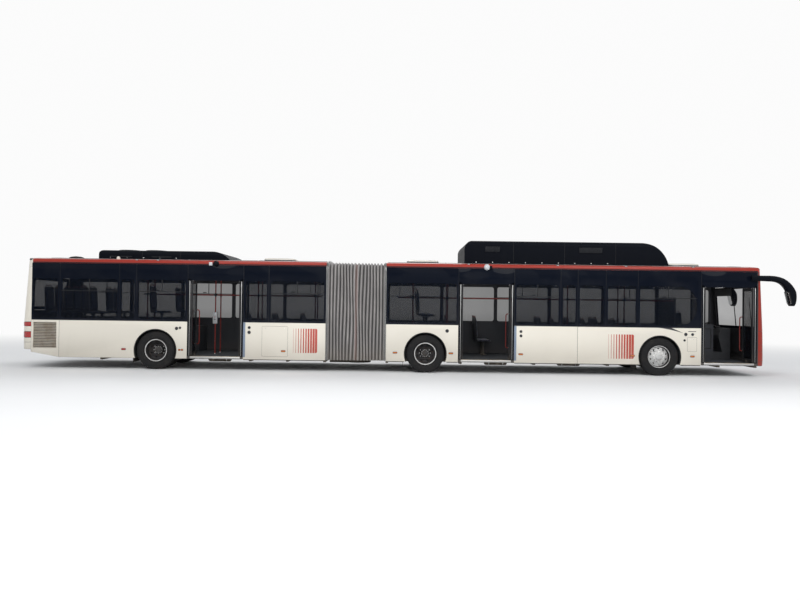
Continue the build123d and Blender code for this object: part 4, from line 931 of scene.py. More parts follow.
def tubes(piece, lines, radius, bend=0.05, sides=10, material=0):
    """Adds round bars along lines of corners, their corners bent round."""
    mesh = bpy.data.meshes.new("lines")
    verts, edges = [], []
    for line in lines:
        start = len(verts)
        verts += [tuple(p) for p in line]
        edges += [(start + i, start + i + 1) for i in range(len(line) - 1)]
    mesh.from_pydata(verts, edges, [])
    made = GROWTHS["tube"].run(mesh, piece.materials[material], Radius=radius, Bend=bend, Sides=sides)
    return piece.absorb(made, material)


def copies(piece, item, key, count, step, centre=(0.0, 0.0, 0.0), material=0):
    """Adds one item's shapes many times, round an axle or along a row."""
    mesh = bpy.data.meshes.new("item")
    mesh.from_pydata(np.concatenate(item.verts).tolist(), [], item.faces)
    made = GROWTHS[key].run(
        mesh, piece.materials[material], Count=count, Step=[float(s) for s in step],
        Centre=[float(c) for c in centre],
    )
    return piece.absorb(made, material)


# Rounded ends of the bus
class EndForm:
    """Outline of a rounded end by height. Turn 0 is its middle, 1 where a corner starts, 2 where it ends."""

    def __init__(self, way, tip, wall_x, rows):
        self.way, self.tip, self.wall_x = way, tip, wall_x
        self.rows = []
        for z, lean, bow, corner in rows:
            radius = (HALF ** 2 + bow ** 2) / (2 * bow)
            cy = HALF - corner
            cx = sqrt((radius - corner) ** 2 - cy ** 2) - radius
            self.rows.append((z, lean, radius, corner, cx, cy, np.arcsin(cy / (radius - corner))))

    def on_row(self, row, turn, off):
        _, lean, radius, corner, cx, cy, bend = row
        if turn <= 1:
            return (radius + off) * cos(bend * turn) - radius - lean, (radius + off) * sin(bend * turn)
        a = bend + (pi / 2 - bend) * (min(turn, 2.0) - 1)
        x = cx + (corner + off) * cos(a) - max(0.0, turn - 2)
        return x - lean, cy + (corner + off) * sin(a)

    def at(self, turn, z, off=0.0):
        """Place on the end's surface, or off it. Past turn 2 it runs back along the side in metres."""
        pairs = [pair for pair in zip(self.rows, self.rows[1:]) if z <= pair[1][0]] or [self.rows[-2:]]
        low_row, high_row = pairs[0]
        share = (z - low_row[0]) / (high_row[0] - low_row[0])
        x0, y0 = self.on_row(low_row, abs(turn), off)
        x1, y1 = self.on_row(high_row, abs(turn), off)
        side = 1 if turn >= 0 else -1
        return (self.tip + self.way * (x0 + (x1 - x0) * share), side * (y0 + (y1 - y0) * share), z)

    def turn_of(self, y, z):
        """Turn at a distance from the middle, or where the side wall starts."""
        side = 1 if y >= 0 else -1
        if abs(y) >= HALF:
            return side * (2 + max(0.0, (self.at(2, z)[0] - self.wall_x) * self.way - 0.001))
        start, end = 0.0, 2.0
        for _ in range(24):
            half = (start + end) / 2
            start, end = (half, end) if self.at(half, z)[1] < abs(y) else (start, half)
        return side * start

    def samples(self, u0, u1, edge, z):
        """Turns from u0 to u1 with a narrow strip at both ends."""
        def step(u):
            a, b = self.at(abs(u), z), self.at(abs(u) + 0.01, z)
            return 0.01 * edge / hypot(b[0] - a[0], b[1] - a[1])

        start, end = u0 + step(u0), u1 - step(u1)
        marks = list(np.linspace(-2, -1, 8)) + list(np.linspace(-1, 1, 17)) + list(np.linspace(1, 2, 8))
        inner = sorted({round(float(u), 4) for u in marks if start + 0.02 < u < end - 0.02})
        return [u0, start] + inner + [end, u1]

    def patch(self, piece, y0, y1, z0, z1, lift=0.004, edge=0.005, material=0, sink=0.006):
        """Closed panel between two distances from the middle that lies on the end's surface."""
        mid = (z0 + z1) / 2
        us = self.samples(self.turn_of(y0, mid), self.turn_of(y1, mid), edge, mid)
        rows = max(2, int((z1 - z0) / 0.12))
        zs = [z0] + list(np.linspace(z0 + edge, z1 - edge, rows)) + [z1]
        n, m = len(us), len(zs)
        verts, faces = [], []
        for back in (False, True):
            for i, u in enumerate(us):
                for j, z in enumerate(zs):
                    shift = 0.0
                    if i < 2:
                        shift = self.turn_of(y0, z) - us[0]
                    elif i > n - 3:
                        shift = self.turn_of(y1, z) - us[-1]
                    rim = i in (0, n - 1) or j in (0, m - 1)
                    verts.append(self.at(u + shift, z, -sink if back else lift - rim * edge * 0.7))
        for start in (0, n * m):
            for i in range(n - 1):
                for j in range(m - 1):
                    a = start + i * m + j
                    faces.append((a, a + m, a + m + 1, a + 1))
        rim = [i * m for i in range(n)] + [(n - 1) * m + j for j in range(1, m)]
        rim += [i * m + m - 1 for i in range(n - 2, -1, -1)] + list(range(m - 2, 0, -1))
        faces += [(p, q, q + n * m, p + n * m) for p, q in zip(rim, rim[1:] + rim[:1])]
        return piece.oriented(verts, faces, material)

    def glazed(self, piece, y, z0, z1, border, frit, pane):
        """Pane with a dark border, the same to both sides of the middle."""
        low_z, high_z = z0 + border[0], z1 - border[1]
        inner = y - border[2]
        self.patch(piece, -y, y, z0, low_z, 0.0035, 0.003, frit)
        self.patch(piece, -y, y, high_z, z1, 0.0035, 0.003, frit)
        for side in (-1, 1):
            self.patch(piece, *sorted((side * inner, side * y)), low_z, high_z, 0.0035, 0.001, frit)
        self.patch(piece, -inner, inner, low_z, high_z, 0.0032, 0.001, pane, 0.002)


NOSE = EndForm(1, FRONT_X, NOSE_X0, NOSE_ROWS)
TAIL = EndForm(-1, REAR_X, TAIL_X1, TAIL_ROWS)


def sizes():
    return bpy.context.scene.bus_sizes


def pane_rows(car, side):
    """Start and end of every pane on one side of one car, read from the frame's glass."""
    verts = frame["nodes"][f"{car}_glass"].data.vertices
    xs = sorted({round(v.co.x, 4) for v in verts if v.co.y * side > HALF - 0.02})
    return list(zip(xs[::2], xs[1::2]))


def skirt_outline(x0, x1, z0, z1, arches, rise=None):
    """Side panel outline with a bite for each wheel, and a bottom edge that may rise."""
    points = [(x0, rise(x0) if rise else z0)]
    if rise and x0 < TAIL_BEND < x1:
        points.append((TAIL_BEND, z0))
    for axle in arches:
        if x0 < axle < x1:
            reach = sqrt(ARCH_R ** 2 - (AXLE_Z - z0) ** 2)
            turn = degrees(atan2(z0 - AXLE_Z, reach))
            points += arc(axle, AXLE_Z, ARCH_R, 180 - turn, turn, 30)
    points += [(x1, z0), (x1, z1), (x0, z1)]
    return points


def tail_skirt(x):
    """Bottom edge behind the rear axle."""
    share = max(0.0, (TAIL_BEND - x) / (TAIL_BEND - REAR_X))
    return SKIRT_Z + (TAIL_LIFT_Z - SKIRT_Z) * share


# Joints between the lower panels, besides those at the doors
SEAMS = {
    ("rear", -1): [PIVOT_X - 7.434], ("rear", 1): [-8.55, -7.15, -5.35, -3.70],
    ("front", -1): [4.31], ("front", 1): [1.30, 2.75, 4.30, 5.60, 7.30],
}
LEAST_PANEL = 0.05


def side_panels(car, side):
    """Rows of x0, x1 for the lower panels of one side of one car."""
    start, end = (TAIL_X1, REAR_CAR_X1) if car == "rear" else (FRONT_CAR_X0, NOSE_X0)
    doors = CAR_DOORS[car] if side < 0 else []
    seams = SEAMS[car, side] + [d + way * DOOR_HALF for d in doors for way in (-1, 1)]
    edges = [start] + sorted(seams) + [end]
    return [
        (x0, x1) for x0, x1 in zip(edges, edges[1:])
        if x1 - x0 >= LEAST_PANEL and all(abs((x0 + x1) / 2 - d) >= DOOR_HALF for d in doors)
    ]


# Half gap that the strips along the skirt leave at a wheel
STRIP_GAP = 0.52


def build_skins():
    """Lower side panels of both cars with their arch lips, flaps, buttons and markers."""
    s = sizes()
    gap = s.joint / 2
    for car, axles in CAR_AXLES.items():
        for side, hand in SIDES:
            place = on_side(side)
            skin = Piece(
                f"{car}_side_panels_{hand}", "white", "rubber", "plastic", "amber", "chrome", "lamp_red"
            )
            for x0, x1 in side_panels(car, side):
                rise = tail_skirt if car == "rear" and x0 < TAIL_BEND else None
                outline = skirt_outline(x0 + gap, x1 - gap, SKIRT_Z + 0.004, WAIST_Z - 0.003, axles, rise)
                holes = []
                if car == "rear" and x0 < LOUVRE[0] < x1:
                    holes = [rounded(*LOUVRE[:2], *LOUVRE[2:], 0.02)[::-1]]
                skin.slab(outline, place, HALF - 0.010, HALF + s.lift, s.round, holes)
            lips = []
            for axle in axles:
                turn = degrees(atan2(SKIRT_Z - AXLE_Z, sqrt(ARCH_R ** 2 - (AXLE_Z - SKIRT_Z) ** 2)))
                lips.append(
                    [place(p, HALF - 0.004) for p in arc(axle, AXLE_Z, ARCH_R - 0.008, 180 - turn, turn, 36)]
                )
            tubes(skin, lips, 0.014, 0.0, 8, 1)
            for x0, x1 in side_panels(car, side):
                if car == "rear" and x0 < TAIL_BEND:
                    continue
                cuts = [x0] + [v for a in axles if x0 < a < x1 for v in (a - STRIP_GAP, a + STRIP_GAP)] + [x1]
                for a, b in zip(cuts[::2], cuts[1::2]):
                    skin.box(
                        (a + 0.01, side * (HALF - 0.03), SKIRT_Z - 0.016),
                        (b - 0.01, side * (HALF - 0.006), SKIRT_Z + 0.01), 0.006, 1,
                    )
            details_on_side(skin, car, side)
            skin.make(f"{car}_car", "white_paint")


# Markers of both sides: place along, height
MARKERS = {
    "rear": ((-7.06, 0.50), (-5.63, 0.50), (-3.06, 0.50)),
    "front": ((-0.26, 0.50), (1.14, 0.50), (2.89, 0.50), (5.69, 0.50), (7.19, 0.50)),
}
# The marker made of two lenses, and the place behind which they are red
TWIN_MARKER = -5.63
RED_MARKERS_X = -7
# Dark round buttons of the right side: place along, height, radius
BUTTONS_RIGHT = {
    "rear": ((-3.92, 1.08, 0.036), (-3.92, 0.96, 0.042), (-5.74, 1.035, 0.042), (-5.655, 1.05, 0.032)),
    "front": (
        (1.04, 1.06, 0.044), (2.89, 1.07, 0.036), (2.89, 0.96, 0.036), (7.02, 1.05, 0.042),
        (7.19, 1.05, 0.036), (6.99, 0.90, 0.030),
    ),
}
# Flaps: along from and to, height from and to
FLAPS_RIGHT = {
    "rear": ((-3.60, -2.95, 0.36, 1.12),),
    "front": ((7.06, 7.30, 0.62, 0.98),),
}
FLAPS_LEFT = {
    "rear": ((-9.25, -8.65, 0.50, 1.12), (-8.45, -7.25, 0.36, 1.12), (-5.25, -3.80, 0.36, 1.12)),
    "front": (
        (1.40, 2.65, 0.36, 1.12), (2.85, 4.20, 0.36, 1.12), (4.40, 5.50, 0.36, 1.12), (7.40, 8.60, 0.36, 1.12)
    ),
}


def details_on_side(skin, car, side):
    """Flap joints, buttons and markers of one side."""
    s = sizes()
    place = on_side(side)
    face = HALF + s.lift
    for x, z in MARKERS[car]:
        twin = x == TWIN_MARKER
        for shift in (-0.034, 0.034) if twin else (0.0,):
            half = 0.024 if twin else 0.052
            lens = rounded(x + shift - half, x + shift + half, z - 0.018, z + 0.018, 0.014)
            skin.slab(lens, place, face - 0.002, face + 0.010, 0.004, material=5 if x < RED_MARKERS_X else 3)
            skin.slab(inset(lens, -0.007), place, face - 0.002, face + 0.003, 0.001, material=2)
    if side < 0:
        for x, z, r in BUTTONS_RIGHT[car]:
            profile = (
                (0, -0.004), (r, -0.004), (r, 0.004), (r - 0.006, 0.010), (r - 0.010, 0.010),
                (r - 0.013, 0.006), (0, 0.007)
            )
            skin.lathe(profile, (x, side * face, z), "y", side, 24, 2)
        if car == "front":
            skin.slab(
                rounded(7.08, 7.28, 1.118, 1.132, 0.006), place, face - 0.001, face + 0.004, 0.002, material=2
            )
    flaps = (FLAPS_RIGHT if side < 0 else FLAPS_LEFT)[car]
    for x0, x1, z0, z1 in flaps:
        outer = rounded(x0, x1, z0, z1, 0.025)
        skin.slab(outer, place, face - 0.001, face + 0.0015, 0.001, [inset(outer, 0.004)[::-1]], 1)
        for x in (x0 + 0.09, x1 - 0.09):
            skin.lathe(
                round_head(0.011, -0.002, 0.002, 0.008, 0.004), (x, side * face, z1 - 0.05), "y", side, 16, 4
            )


def build_louvre():
    """Frame and dark back of the slatted vent in the rear right wall."""
    x0, x1, z0, z1 = LOUVRE
    vent = Piece("rear_vent_frame", "plastic", "tail")
    place = on_side(-1)
    outer = rounded(x0 + 0.001, x1 - 0.001, z0 + 0.001, z1 - 0.001, 0.02)
    vent.slab(outer, place, HALF - 0.004, HALF + 0.006, 0.003, [inset(outer, 0.016)[::-1]], 1)
    vent.slab(inset(outer, 0.001), place, HALF - 0.058, HALF - 0.052, 0.001)
    vent.make("rear_car", "white_paint")


def build_panes():
    """Side panes with black borders, opening vents and clear middles."""
    for car in ("front", "rear"):
        panes = Piece(f"{car}_panes", "frit", "glass", "rubber", "plastic")
        for side, hand in SIDES:
            place = on_side(side)
            rows = pane_rows(car, side)
            for number, (x0, x1) in enumerate(rows):
                outer = rounded(x0 + 0.001, x1 - 0.001, WAIST_Z + 0.004, BAND_TOP - 0.004, 0.020)
                h0, h1 = x0 + PILLAR / 2, x1 - PILLAR / 2
                round_off = 0.06
                if car == "front" and hand == "right" and number == len(rows) - 1:
                    h1, round_off = x1 - 0.11, 0.44
                if h1 - h0 < 0.12:
                    panes.slab(outer, place, HALF - 0.008, HALF + 0.001, 0.0015)
                    continue
                z0, z1 = WINDOW_Z[0] + 0.004, WINDOW_Z[1] - 0.004
                hole = rounded(h0, h1, z0, z1, round_off, 7)
                if round_off > 0.1:
                    r = round_off
                    hole = arc(h1 - r, z0 + r, r, -90, 0, 12) + arc(h1 - r, z1 - r, r, 0, 90, 12)
                    hole += [(h0, z1), (h0, z0)]
                panes.slab(outer, place, HALF - 0.008, HALF + 0.001, 0.0015, [hole[::-1]])
                panes.slab(hole, place, HALF - 0.007, HALF + 0.0006, 0.0003, material=1)
                if h1 - h0 > 0.9 and number % 2 == (1 if side < 0 else 0):
                    z = WINDOW_Z[1] - 0.30
                    panes.box(
                        (h0 - 0.01, side * (HALF - 0.009), z - 0.008),
                        (h1 + 0.01, side * (HALF + 0.003), z + 0.008), 0.003, 2,
                    )
                    x = (h0 + h1) / 2
                    panes.box(
                        (x - 0.010, side * (HALF - 0.009), z),
                        (x + 0.010, side * (HALF + 0.0025), WINDOW_Z[1]), 0.003, 2,
                    )
                    panes.box(
                        (x - 0.16, side * (HALF - 0.022), z + 0.02),
                        (x - 0.06, side * (HALF - 0.008), z + 0.045), 0.005, 3,
                    )
        if car == "rear":
            TAIL.glazed(panes, 0.86, 1.45, 2.31, (0.09, 0.09, 0.09), 0, 1)
        panes.make(f"{car}_car", "dark_glass", [f"{car}_glass"])


# Small lamps along the roof edges
EDGE_LAMPS = {"front": (1.560, 3.795, 5.510, 7.195), "rear": (-6.765, -6.235)}


def build_roof_edges():
    """Red edge rails along both roofs with gutters, lamps and camera domes."""
    for car, x0, x1 in (("front", FRONT_CAR_X0, NOSE_X0 - 0.02), ("rear", TAIL_X1 + 0.02, REAR_CAR_X1)):
        rail = Piece(f"{car}_roof_edge", "red", "lamp_clear", "black", "plastic", "chrome")
        for side, _ in SIDES:
            y = side * HALF
            band, edge = [], []
            for x in (x0, x1):
                under = ((-0.010, 0.004), (0.003, 0.004), (0.003, 0.020), (-0.010, 0.020))
                over = (
                    (-0.014, 0.021), (0.004, 0.021), (0.007, 0.026), (0.006, 0.062), (0.000, 0.084),
                    (-0.014, 0.100), (-0.034, 0.106), (-0.052, 0.100),
                )
                band.append([(x, y + side * dy, BAND_TOP + dz) for dy, dz in under])
                edge.append([(x, y + side * dy, BAND_TOP + dz) for dy, dz in over])
            rail.loft(band, 2).loft(edge)
            tubes(
                rail, [[(x0, y + side * 0.003, BAND_TOP + 0.021), (x1, y + side * 0.003, BAND_TOP + 0.021)]],
                0.005, 0.0, 8, 3,
            )
        for x in EDGE_LAMPS[car]:
            for side, _ in SIDES:
                y = side * (HALF - 0.006)
                rail.box(
                    (x - 0.040, y - side * 0.04, EDGE_Z - 0.012),
                    (x + 0.040, y + side * 0.008, EDGE_Z + 0.012), 0.009, 3,
                )
                rail.box(
                    (x - 0.028, y - side * 0.01, EDGE_Z - 0.008),
                    (x + 0.028, y + side * 0.013, EDGE_Z + 0.007), 0.006, 1,
                )
        for x in CAR_DOORS[car]:
            if x == DOOR_X[0]:
                continue
            dark = x == DOOR_X[2]
            dome = [(0.072 * cos(a), 0.006 + 0.062 * sin(a)) for a in np.linspace(0, pi / 2, 7)]
            profile = [(0, -0.02), (0.076, -0.02), (0.076, 0.006)] + dome[:-1] + [(0, 0.068)]
            rail.lathe(profile, (x, -HALF - 0.002, EDGE_Z - 0.070), "y", -1, 28, 2 if dark else 1)
            a, b = (x - 0.175, x - 0.085) if dark else (x + 0.070, x + 0.130)
            rail.box(
                (a, -HALF + 0.01, EDGE_Z - 0.120), (b, -HALF - 0.035, EDGE_Z - 0.035), 0.015, 1 if dark else 2
            )
        rail.make(f"{car}_car", "red_paint")


# Panels of the nose: across from and to, height from and to
NOSE_PANELS = (
    (-HALF, HALF, 0.288, 0.392), (-HALF, -1.136, 0.640, 0.804), (1.136, HALF, 0.640, 0.804),
    (-HALF, -0.520, 0.398, 0.634), (0.520, HALF, 0.398, 0.634), (-0.514, 0.514, 0.566, 0.634),
    (-0.796, 0.796, 0.640, 0.804), (-HALF, HALF, 0.810, 1.144), (-HALF, -1.124, 1.150, 2.537),
    (1.124, HALF, 1.150, 2.537),
)
# Panels of the tail: across from and to, height from and to, material
TAIL_PANELS = (
    (-HALF, HALF, 0.470, 0.640, 0), (-1.028, 1.028, 0.646, 0.732, 0), (-1.028, 1.028, 1.154, 1.400, 0),
    (-1.028, -0.868, 0.732, 1.154, 0), (-0.112, 0.112, 0.732, 1.154, 0), (0.868, 1.028, 0.732, 1.154, 0),
    (-1.028, 1.028, 1.406, 1.444, 0),
    (-1.028, -0.866, 1.450, 2.310, 0), (0.866, 1.028, 1.450, 2.310, 0), (-1.028, 1.028, 2.316, 2.537, 1),
    (-HALF, -1.034, 0.646, 0.754, 0), (-HALF, -1.034, 0.916, 1.039, 0), (-HALF, -1.034, 1.156, 2.537, 0),
    (1.034, HALF, 0.646, 0.754, 0), (1.034, HALF, 0.916, 1.039, 0), (1.034, HALF, 1.156, 2.537, 0),
)
# Wall behind the panels, open at the window
TAIL_BACK = (
    (-HALF, HALF, 0.467, 1.440), (-HALF, -0.870, 1.440, 2.320), (0.870, HALF, 1.440, 2.320),
    (-HALF, HALF, 2.320, 2.540),
)
# Lamp lenses of the tail: from, to in height, material
TAIL_LAMPS = ((0.763, 0.822, 1), (0.826, 0.907, 0), (1.048, 1.147, 0))


def build_nose():
    """Front mask, bumper grille, headlamps and windscreen."""
    mask = Piece("front_mask", "red", "black", "plastic", "chrome")
    for panel in NOSE_PANELS:
        NOSE.patch(mask, *panel)
    NOSE.patch(mask, -0.512, 0.512, 0.400, 0.560, -0.004, 0.004, 2, 0.012)
    bar = Piece("bar")
    x = NOSE.at(0, 0.42)[0]
    bar.loft(
        [
            [(x - 0.010, y, 0.412), (x + 0.001, y, 0.410), (x + 0.002, y, 0.416), (x - 0.010, y, 0.424)]
            for y in (-0.5, 0.5)
        ]
    )
    copies(mask, bar, "row", 6, (0, 0, 0.024), material=1)
    NOSE.patch(mask, -0.262, 0.262, 0.666, 0.780, 0.010, 0.004, 1, 0.0)
    for y in (-0.98, 0.98):
        x, _, z = NOSE.at(NOSE.turn_of(y, 0.50), 0.50)
        mask.lathe(
            ((0, 0.0), (0.046, 0.0), (0.046, 0.008), (0.040, 0.011), (0.036, 0.006), (0, 0.010)),
            (x - 0.002, y, z), "x", 1, 28, 3,
        )
    mask.make("front_car", "red_paint")
    lamps = Piece("headlamp_units", "black", "chrome", "lamp_clear", "amber")
    for side in (-1, 1):
        NOSE.patch(lamps, *sorted((side * 0.803, side * 1.130)), 0.644, 0.798, -0.001, 0.004, 0, 0.030)
        for y, radius in ((0.872, 0.050), (0.995, 0.058)):
            x = NOSE.at(NOSE.turn_of(y, 0.72), 0.72)[0] - 0.014
            ring = (
                (0, 0.0), (radius + 0.010, 0.0), (radius + 0.010, 0.014), (radius + 0.004, 0.020),
                (radius, 0.014), (radius - 0.006, 0.006), (0, 0.004),
            )
            lamps.lathe(ring, (x, side * y, 0.721), "x", 1, 36, 1)
            dome = [(0, 0.003)] + [
                (radius * cos(a), 0.004 + 0.016 * sin(a)) for a in np.linspace(0, pi / 2, 7)
            ]
            lamps.lathe(dome, (x, side * y, 0.721), "x", 1, 36, 2)
        NOSE.patch(lamps, *sorted((side * 1.068, side * 1.124)), 0.664, 0.778, 0.004, 0.005, 3, 0.002)
    lamps.make("front_car", "lamp_clear", ["headlamps"])
    screen = Piece("windscreen_pane", "frit", "clear")
    NOSE.glazed(screen, 1.118, 1.152, 2.298, (0.10, 0.05, 0.07), 0, 1)
    NOSE.patch(screen, -1.118, 1.118, 2.304, 2.537, 0.0035, 0.003, 0)
    screen.make("front_car", "clear_glass", ["windscreen"])


def build_tail():
    """Rear wall: panels over their backing, engine hatch with its vents, and lamps."""
    tail = Piece("tail_panels", "tail", "black", "plastic", "chrome", "lining")
    for y0, y1, z0, z1, material in TAIL_PANELS:
        TAIL.patch(tail, y0, y1, z0, z1, 0.0, material=material)
    for y0, y1, z0, z1 in TAIL_BACK:
        TAIL.patch(tail, y0, y1, z0, z1, -0.014, 0.002, 2, 0.024)
        TAIL.patch(tail, y0, y1, z0, z1, -0.0245, 0.002, 4, 0.036)
    for y0, y1 in ((-0.860, -0.120), (0.120, 0.860)):
        for i in range(12):
            z = 0.740 + 0.034 * i
            TAIL.patch(tail, y0, y1, z + 0.006, z + 0.026, -0.001, 0.004, 2, 0.010)
    for y in (-0.60, 0.60):
        tail.box((REAR_X + 0.030, y - 0.06, 1.325), (REAR_X + 0.016, y + 0.06, 1.365), 0.006, 2)
    TAIL.patch(tail, -0.262, 0.262, 0.500, 0.612, 0.0, 0.003, 1, 0.003)
    tail.box((REAR_X + 0.012, -0.10, 0.618), (REAR_X + 0.0005, 0.10, 0.634), 0.004, 3)
    TAIL.patch(tail, -0.70, 0.70, 2.345, 2.510, 0.007, 0.003, 1, 0.0)
    tail.make("rear_car", "white_paint", ["rear_wall"])
    lamps = Piece("tail_lamp_units", "lamp_red", "amber", "plastic")
    for side in (-1, 1):
        for z0, z1 in ((0.761, 0.909), (1.046, 1.149)):
            TAIL.patch(lamps, *sorted((side * 1.042, side * HALF)), z0, z1, 0.001, 0.002, 2, 0.030)
        for z0, z1, material in TAIL_LAMPS:
            TAIL.patch(
                lamps, *sorted((side * 1.048, side * 1.150)), z0 + 0.004, z1 - 0.004, 0.006, 0.005, material,
                0.0,
            )
        for z0, z1 in ((0.765, 0.905), (1.050, 1.145)):
            TAIL.patch(lamps, *sorted((side * 1.152, side * HALF)), z0, z1, 0.006, 0.005, 0, 0.0)
    lamps.make("rear_car", "lamp_red", ["tail_lamps"])


def screen_place(y, z0):
    """Frame of a wiper at its foot, leaning with the windscreen."""
    foot = NOSE.at(NOSE.turn_of(y, z0), z0)
    top = NOSE.at(NOSE.turn_of(y, z0 + 0.88), z0 + 0.88)
    lean = atan2(foot[0] - top[0], 0.88)
    return Matrix.Translation((foot[0], y, z0)) @ Matrix.Rotation(-lean, 4, "Y")


def build_wipers():
    """Spindles, arms and blades on the windscreen."""
    wipers = Piece("wiper_arms", "plastic", "rubber")
    for y in (-0.55, 0.25):
        one = Piece("one")
        one.lathe(
            ((0, 0.003), (0.026, 0.003), (0.026, 0.026), (0.022, 0.032), (0.012, 0.032), (0, 0.030)),
            (0, 0, 0), "x", 1, 24,
        )
        arm = []
        for z, half, x0, x1 in (
            (-0.02, 0.014, 0.014, 0.030), (0.10, 0.014, 0.014, 0.030), (0.45, 0.009, 0.018, 0.028),
            (0.72, 0.006, 0.018, 0.026),
        ):
            arm.append(
                [
                    (x0, -half, z), (x1 - 0.003, -half, z), (x1, -half * 0.5, z), (x1, half * 0.5, z),
                    (x1 - 0.003, half, z), (x0, half, z),
                ]
            )
        one.loft(arm)
        for z in (0.22, 0.36, 0.50, 0.64, 0.78):
            one.box((0.008, -0.006, z - 0.02), (0.019, 0.006, z + 0.02), 0.002)
        one.box((0.012, -0.005, 0.15), (0.017, 0.005, 0.88), 0.002)
        one.slots = [0] * len(one.faces)
        one.loft([[(0.004, 0, z), (0.012, 0.003, z), (0.012, -0.003, z)] for z in (0.15, 0.88)], 1)
        wipers.join(one.moved(screen_place(y, 1.12)))
    wipers.make("front_car", "cab_plastic", ["wipers"])


def bend(first, middle_point, last, count):
    """Points of the arc through three points."""
    (ax, ay), (bx, by), (cx, cy) = first, middle_point, last
    d = 2 * (ax * (by - cy) + bx * (cy - ay) + cx * (ay - by))
    a2, b2, c2 = ax * ax + ay * ay, bx * bx + by * by, cx * cx + cy * cy
    ux = (a2 * (by - cy) + b2 * (cy - ay) + c2 * (ay - by)) / d
    uy = (a2 * (cx - bx) + b2 * (ax - cx) + c2 * (bx - ax)) / d
    start, end = (atan2(y - uy, x - ux) for x, y in (first, last))
    if (end - start) * (1 if d > 0 else -1) < 0:
        end += 2 * pi if d > 0 else -2 * pi
    radius = hypot(ax - ux, ay - uy)
    return [(ux + radius * cos(a), uy + radius * sin(a)) for a in np.linspace(start, end, count)]


# Mirror housing seen from the side, ahead of the nose tip and up: front and rear edges
MIRROR_ROOT = ((-0.44, 2.547), (-0.18, 2.547)), ((-0.44, 2.413), (-0.18, 2.407))
MIRROR_FRONT = ((0.0, 2.548), (0.39, 2.405), (0.585, 2.15)), ((0.585, 2.15), (0.6, 2.03), (0.575, 1.86))
MIRROR_BACK = ((0.06, 2.398), (0.23, 2.33), (0.357, 2.175)), ((0.357, 2.175), (0.395, 2.04), (0.438, 1.86))
MIRROR_TIP = ((0.560, 1.822), (0.535, 1.792)), ((0.447, 1.825), (0.470, 1.795))


def build_mirrors():
    """Curved mirror housings with their mirror glass facing back."""
    mirrors = Piece("mirror_housings", "black", "chrome", "rubber", "lamp_clear")
    edges = []
    for root, arcs, tip in zip(MIRROR_ROOT, (MIRROR_FRONT, MIRROR_BACK), MIRROR_TIP):
        edges.append([*root, *bend(*arcs[0], 9), *bend(*arcs[1], 7)[1:], *tip])
    for side in (-1, 1):
        loops = []
        for (fx, fz), (bx, bz) in zip(*edges):
            x, z = (fx + bx) / 2, (fz + bz) / 2
            share = min(1.0, max(0.0, (x + 0.06) / 0.32))
            share = share * share * (3 - 2 * share)
            near, far = 0.013 + 0.021 * share, 0.081 + 0.168 * share
            half = (far - near) / 2 * (0.97 if z > 1.83 else 0.86)
            loop = []
            for a in np.linspace(0, 2 * pi, 21)[:-1]:
                u = np.sign(cos(a)) * abs(cos(a)) ** 0.62
                v = np.sign(sin(a)) * abs(sin(a)) ** 0.62 * half
                place = (
                    FRONT_X + x + (fx - bx) / 2 * u, side * (HALF + (near + far) / 2 + v),
                    z + (fz - bz) / 2 * u,
                )
                loop.append(place)
            loops.append(loop)
        mirrors.loft(loops)
        mirrors.box(
            (FRONT_X - 0.427, side * HALF, 2.438), (FRONT_X - 0.333, side * (HALF + 0.022), 2.526), 0.008, 2
        )
        lens = ((0, -0.01), (0.034, -0.01), (0.034, 0.006), (0.024, 0.016), (0, 0.020))
        mirrors.lathe(lens, (FRONT_X - 0.385, side * (HALF + 0.020), 2.482), "y", side, 24, 3)
        pane = rounded(-0.090, 0.090, 1.835, 2.150, 0.04)
        rear = lambda p, w, side=side: (
            FRONT_X + 0.357 + 0.25 * (2.175 - p[1]) + w, side * (HALF + 0.142) + p[0], p[1]
        )
        mirrors.slab(inset(pane, -0.006), rear, 0.03, -0.002, 0.004, material=2)
        mirrors.slab(pane, rear, 0.02, -0.005, 0.003, material=1)
        seam = [
            (FRONT_X + 0.02, side * (HALF + 0.049 + 0.036 * cos(a)), 2.475 + 0.071 * sin(a))
            for a in np.linspace(0, 2 * pi, 25)
        ]
        tubes(mirrors, [seam], 0.004, 0.0, 6, 2)
    mirrors.make("front_car", "black_paint", ["mirrors"])


def roof_z(y):
    """Height of the roof at a distance from the middle."""
    return CROWN_Z - (CROWN_Z - EDGE_Z) * (y / HALF) ** 2


def across_roof(x, half, off=0.002):
    """Line over the roof from one side to the other."""
    return [(x, y, roof_z(y) + off) for y in np.linspace(-half, half, 13)]


# Roof hatches: middle along the bus
HATCHES = {"front": (0.45, 7.35), "rear": (-3.35,)}


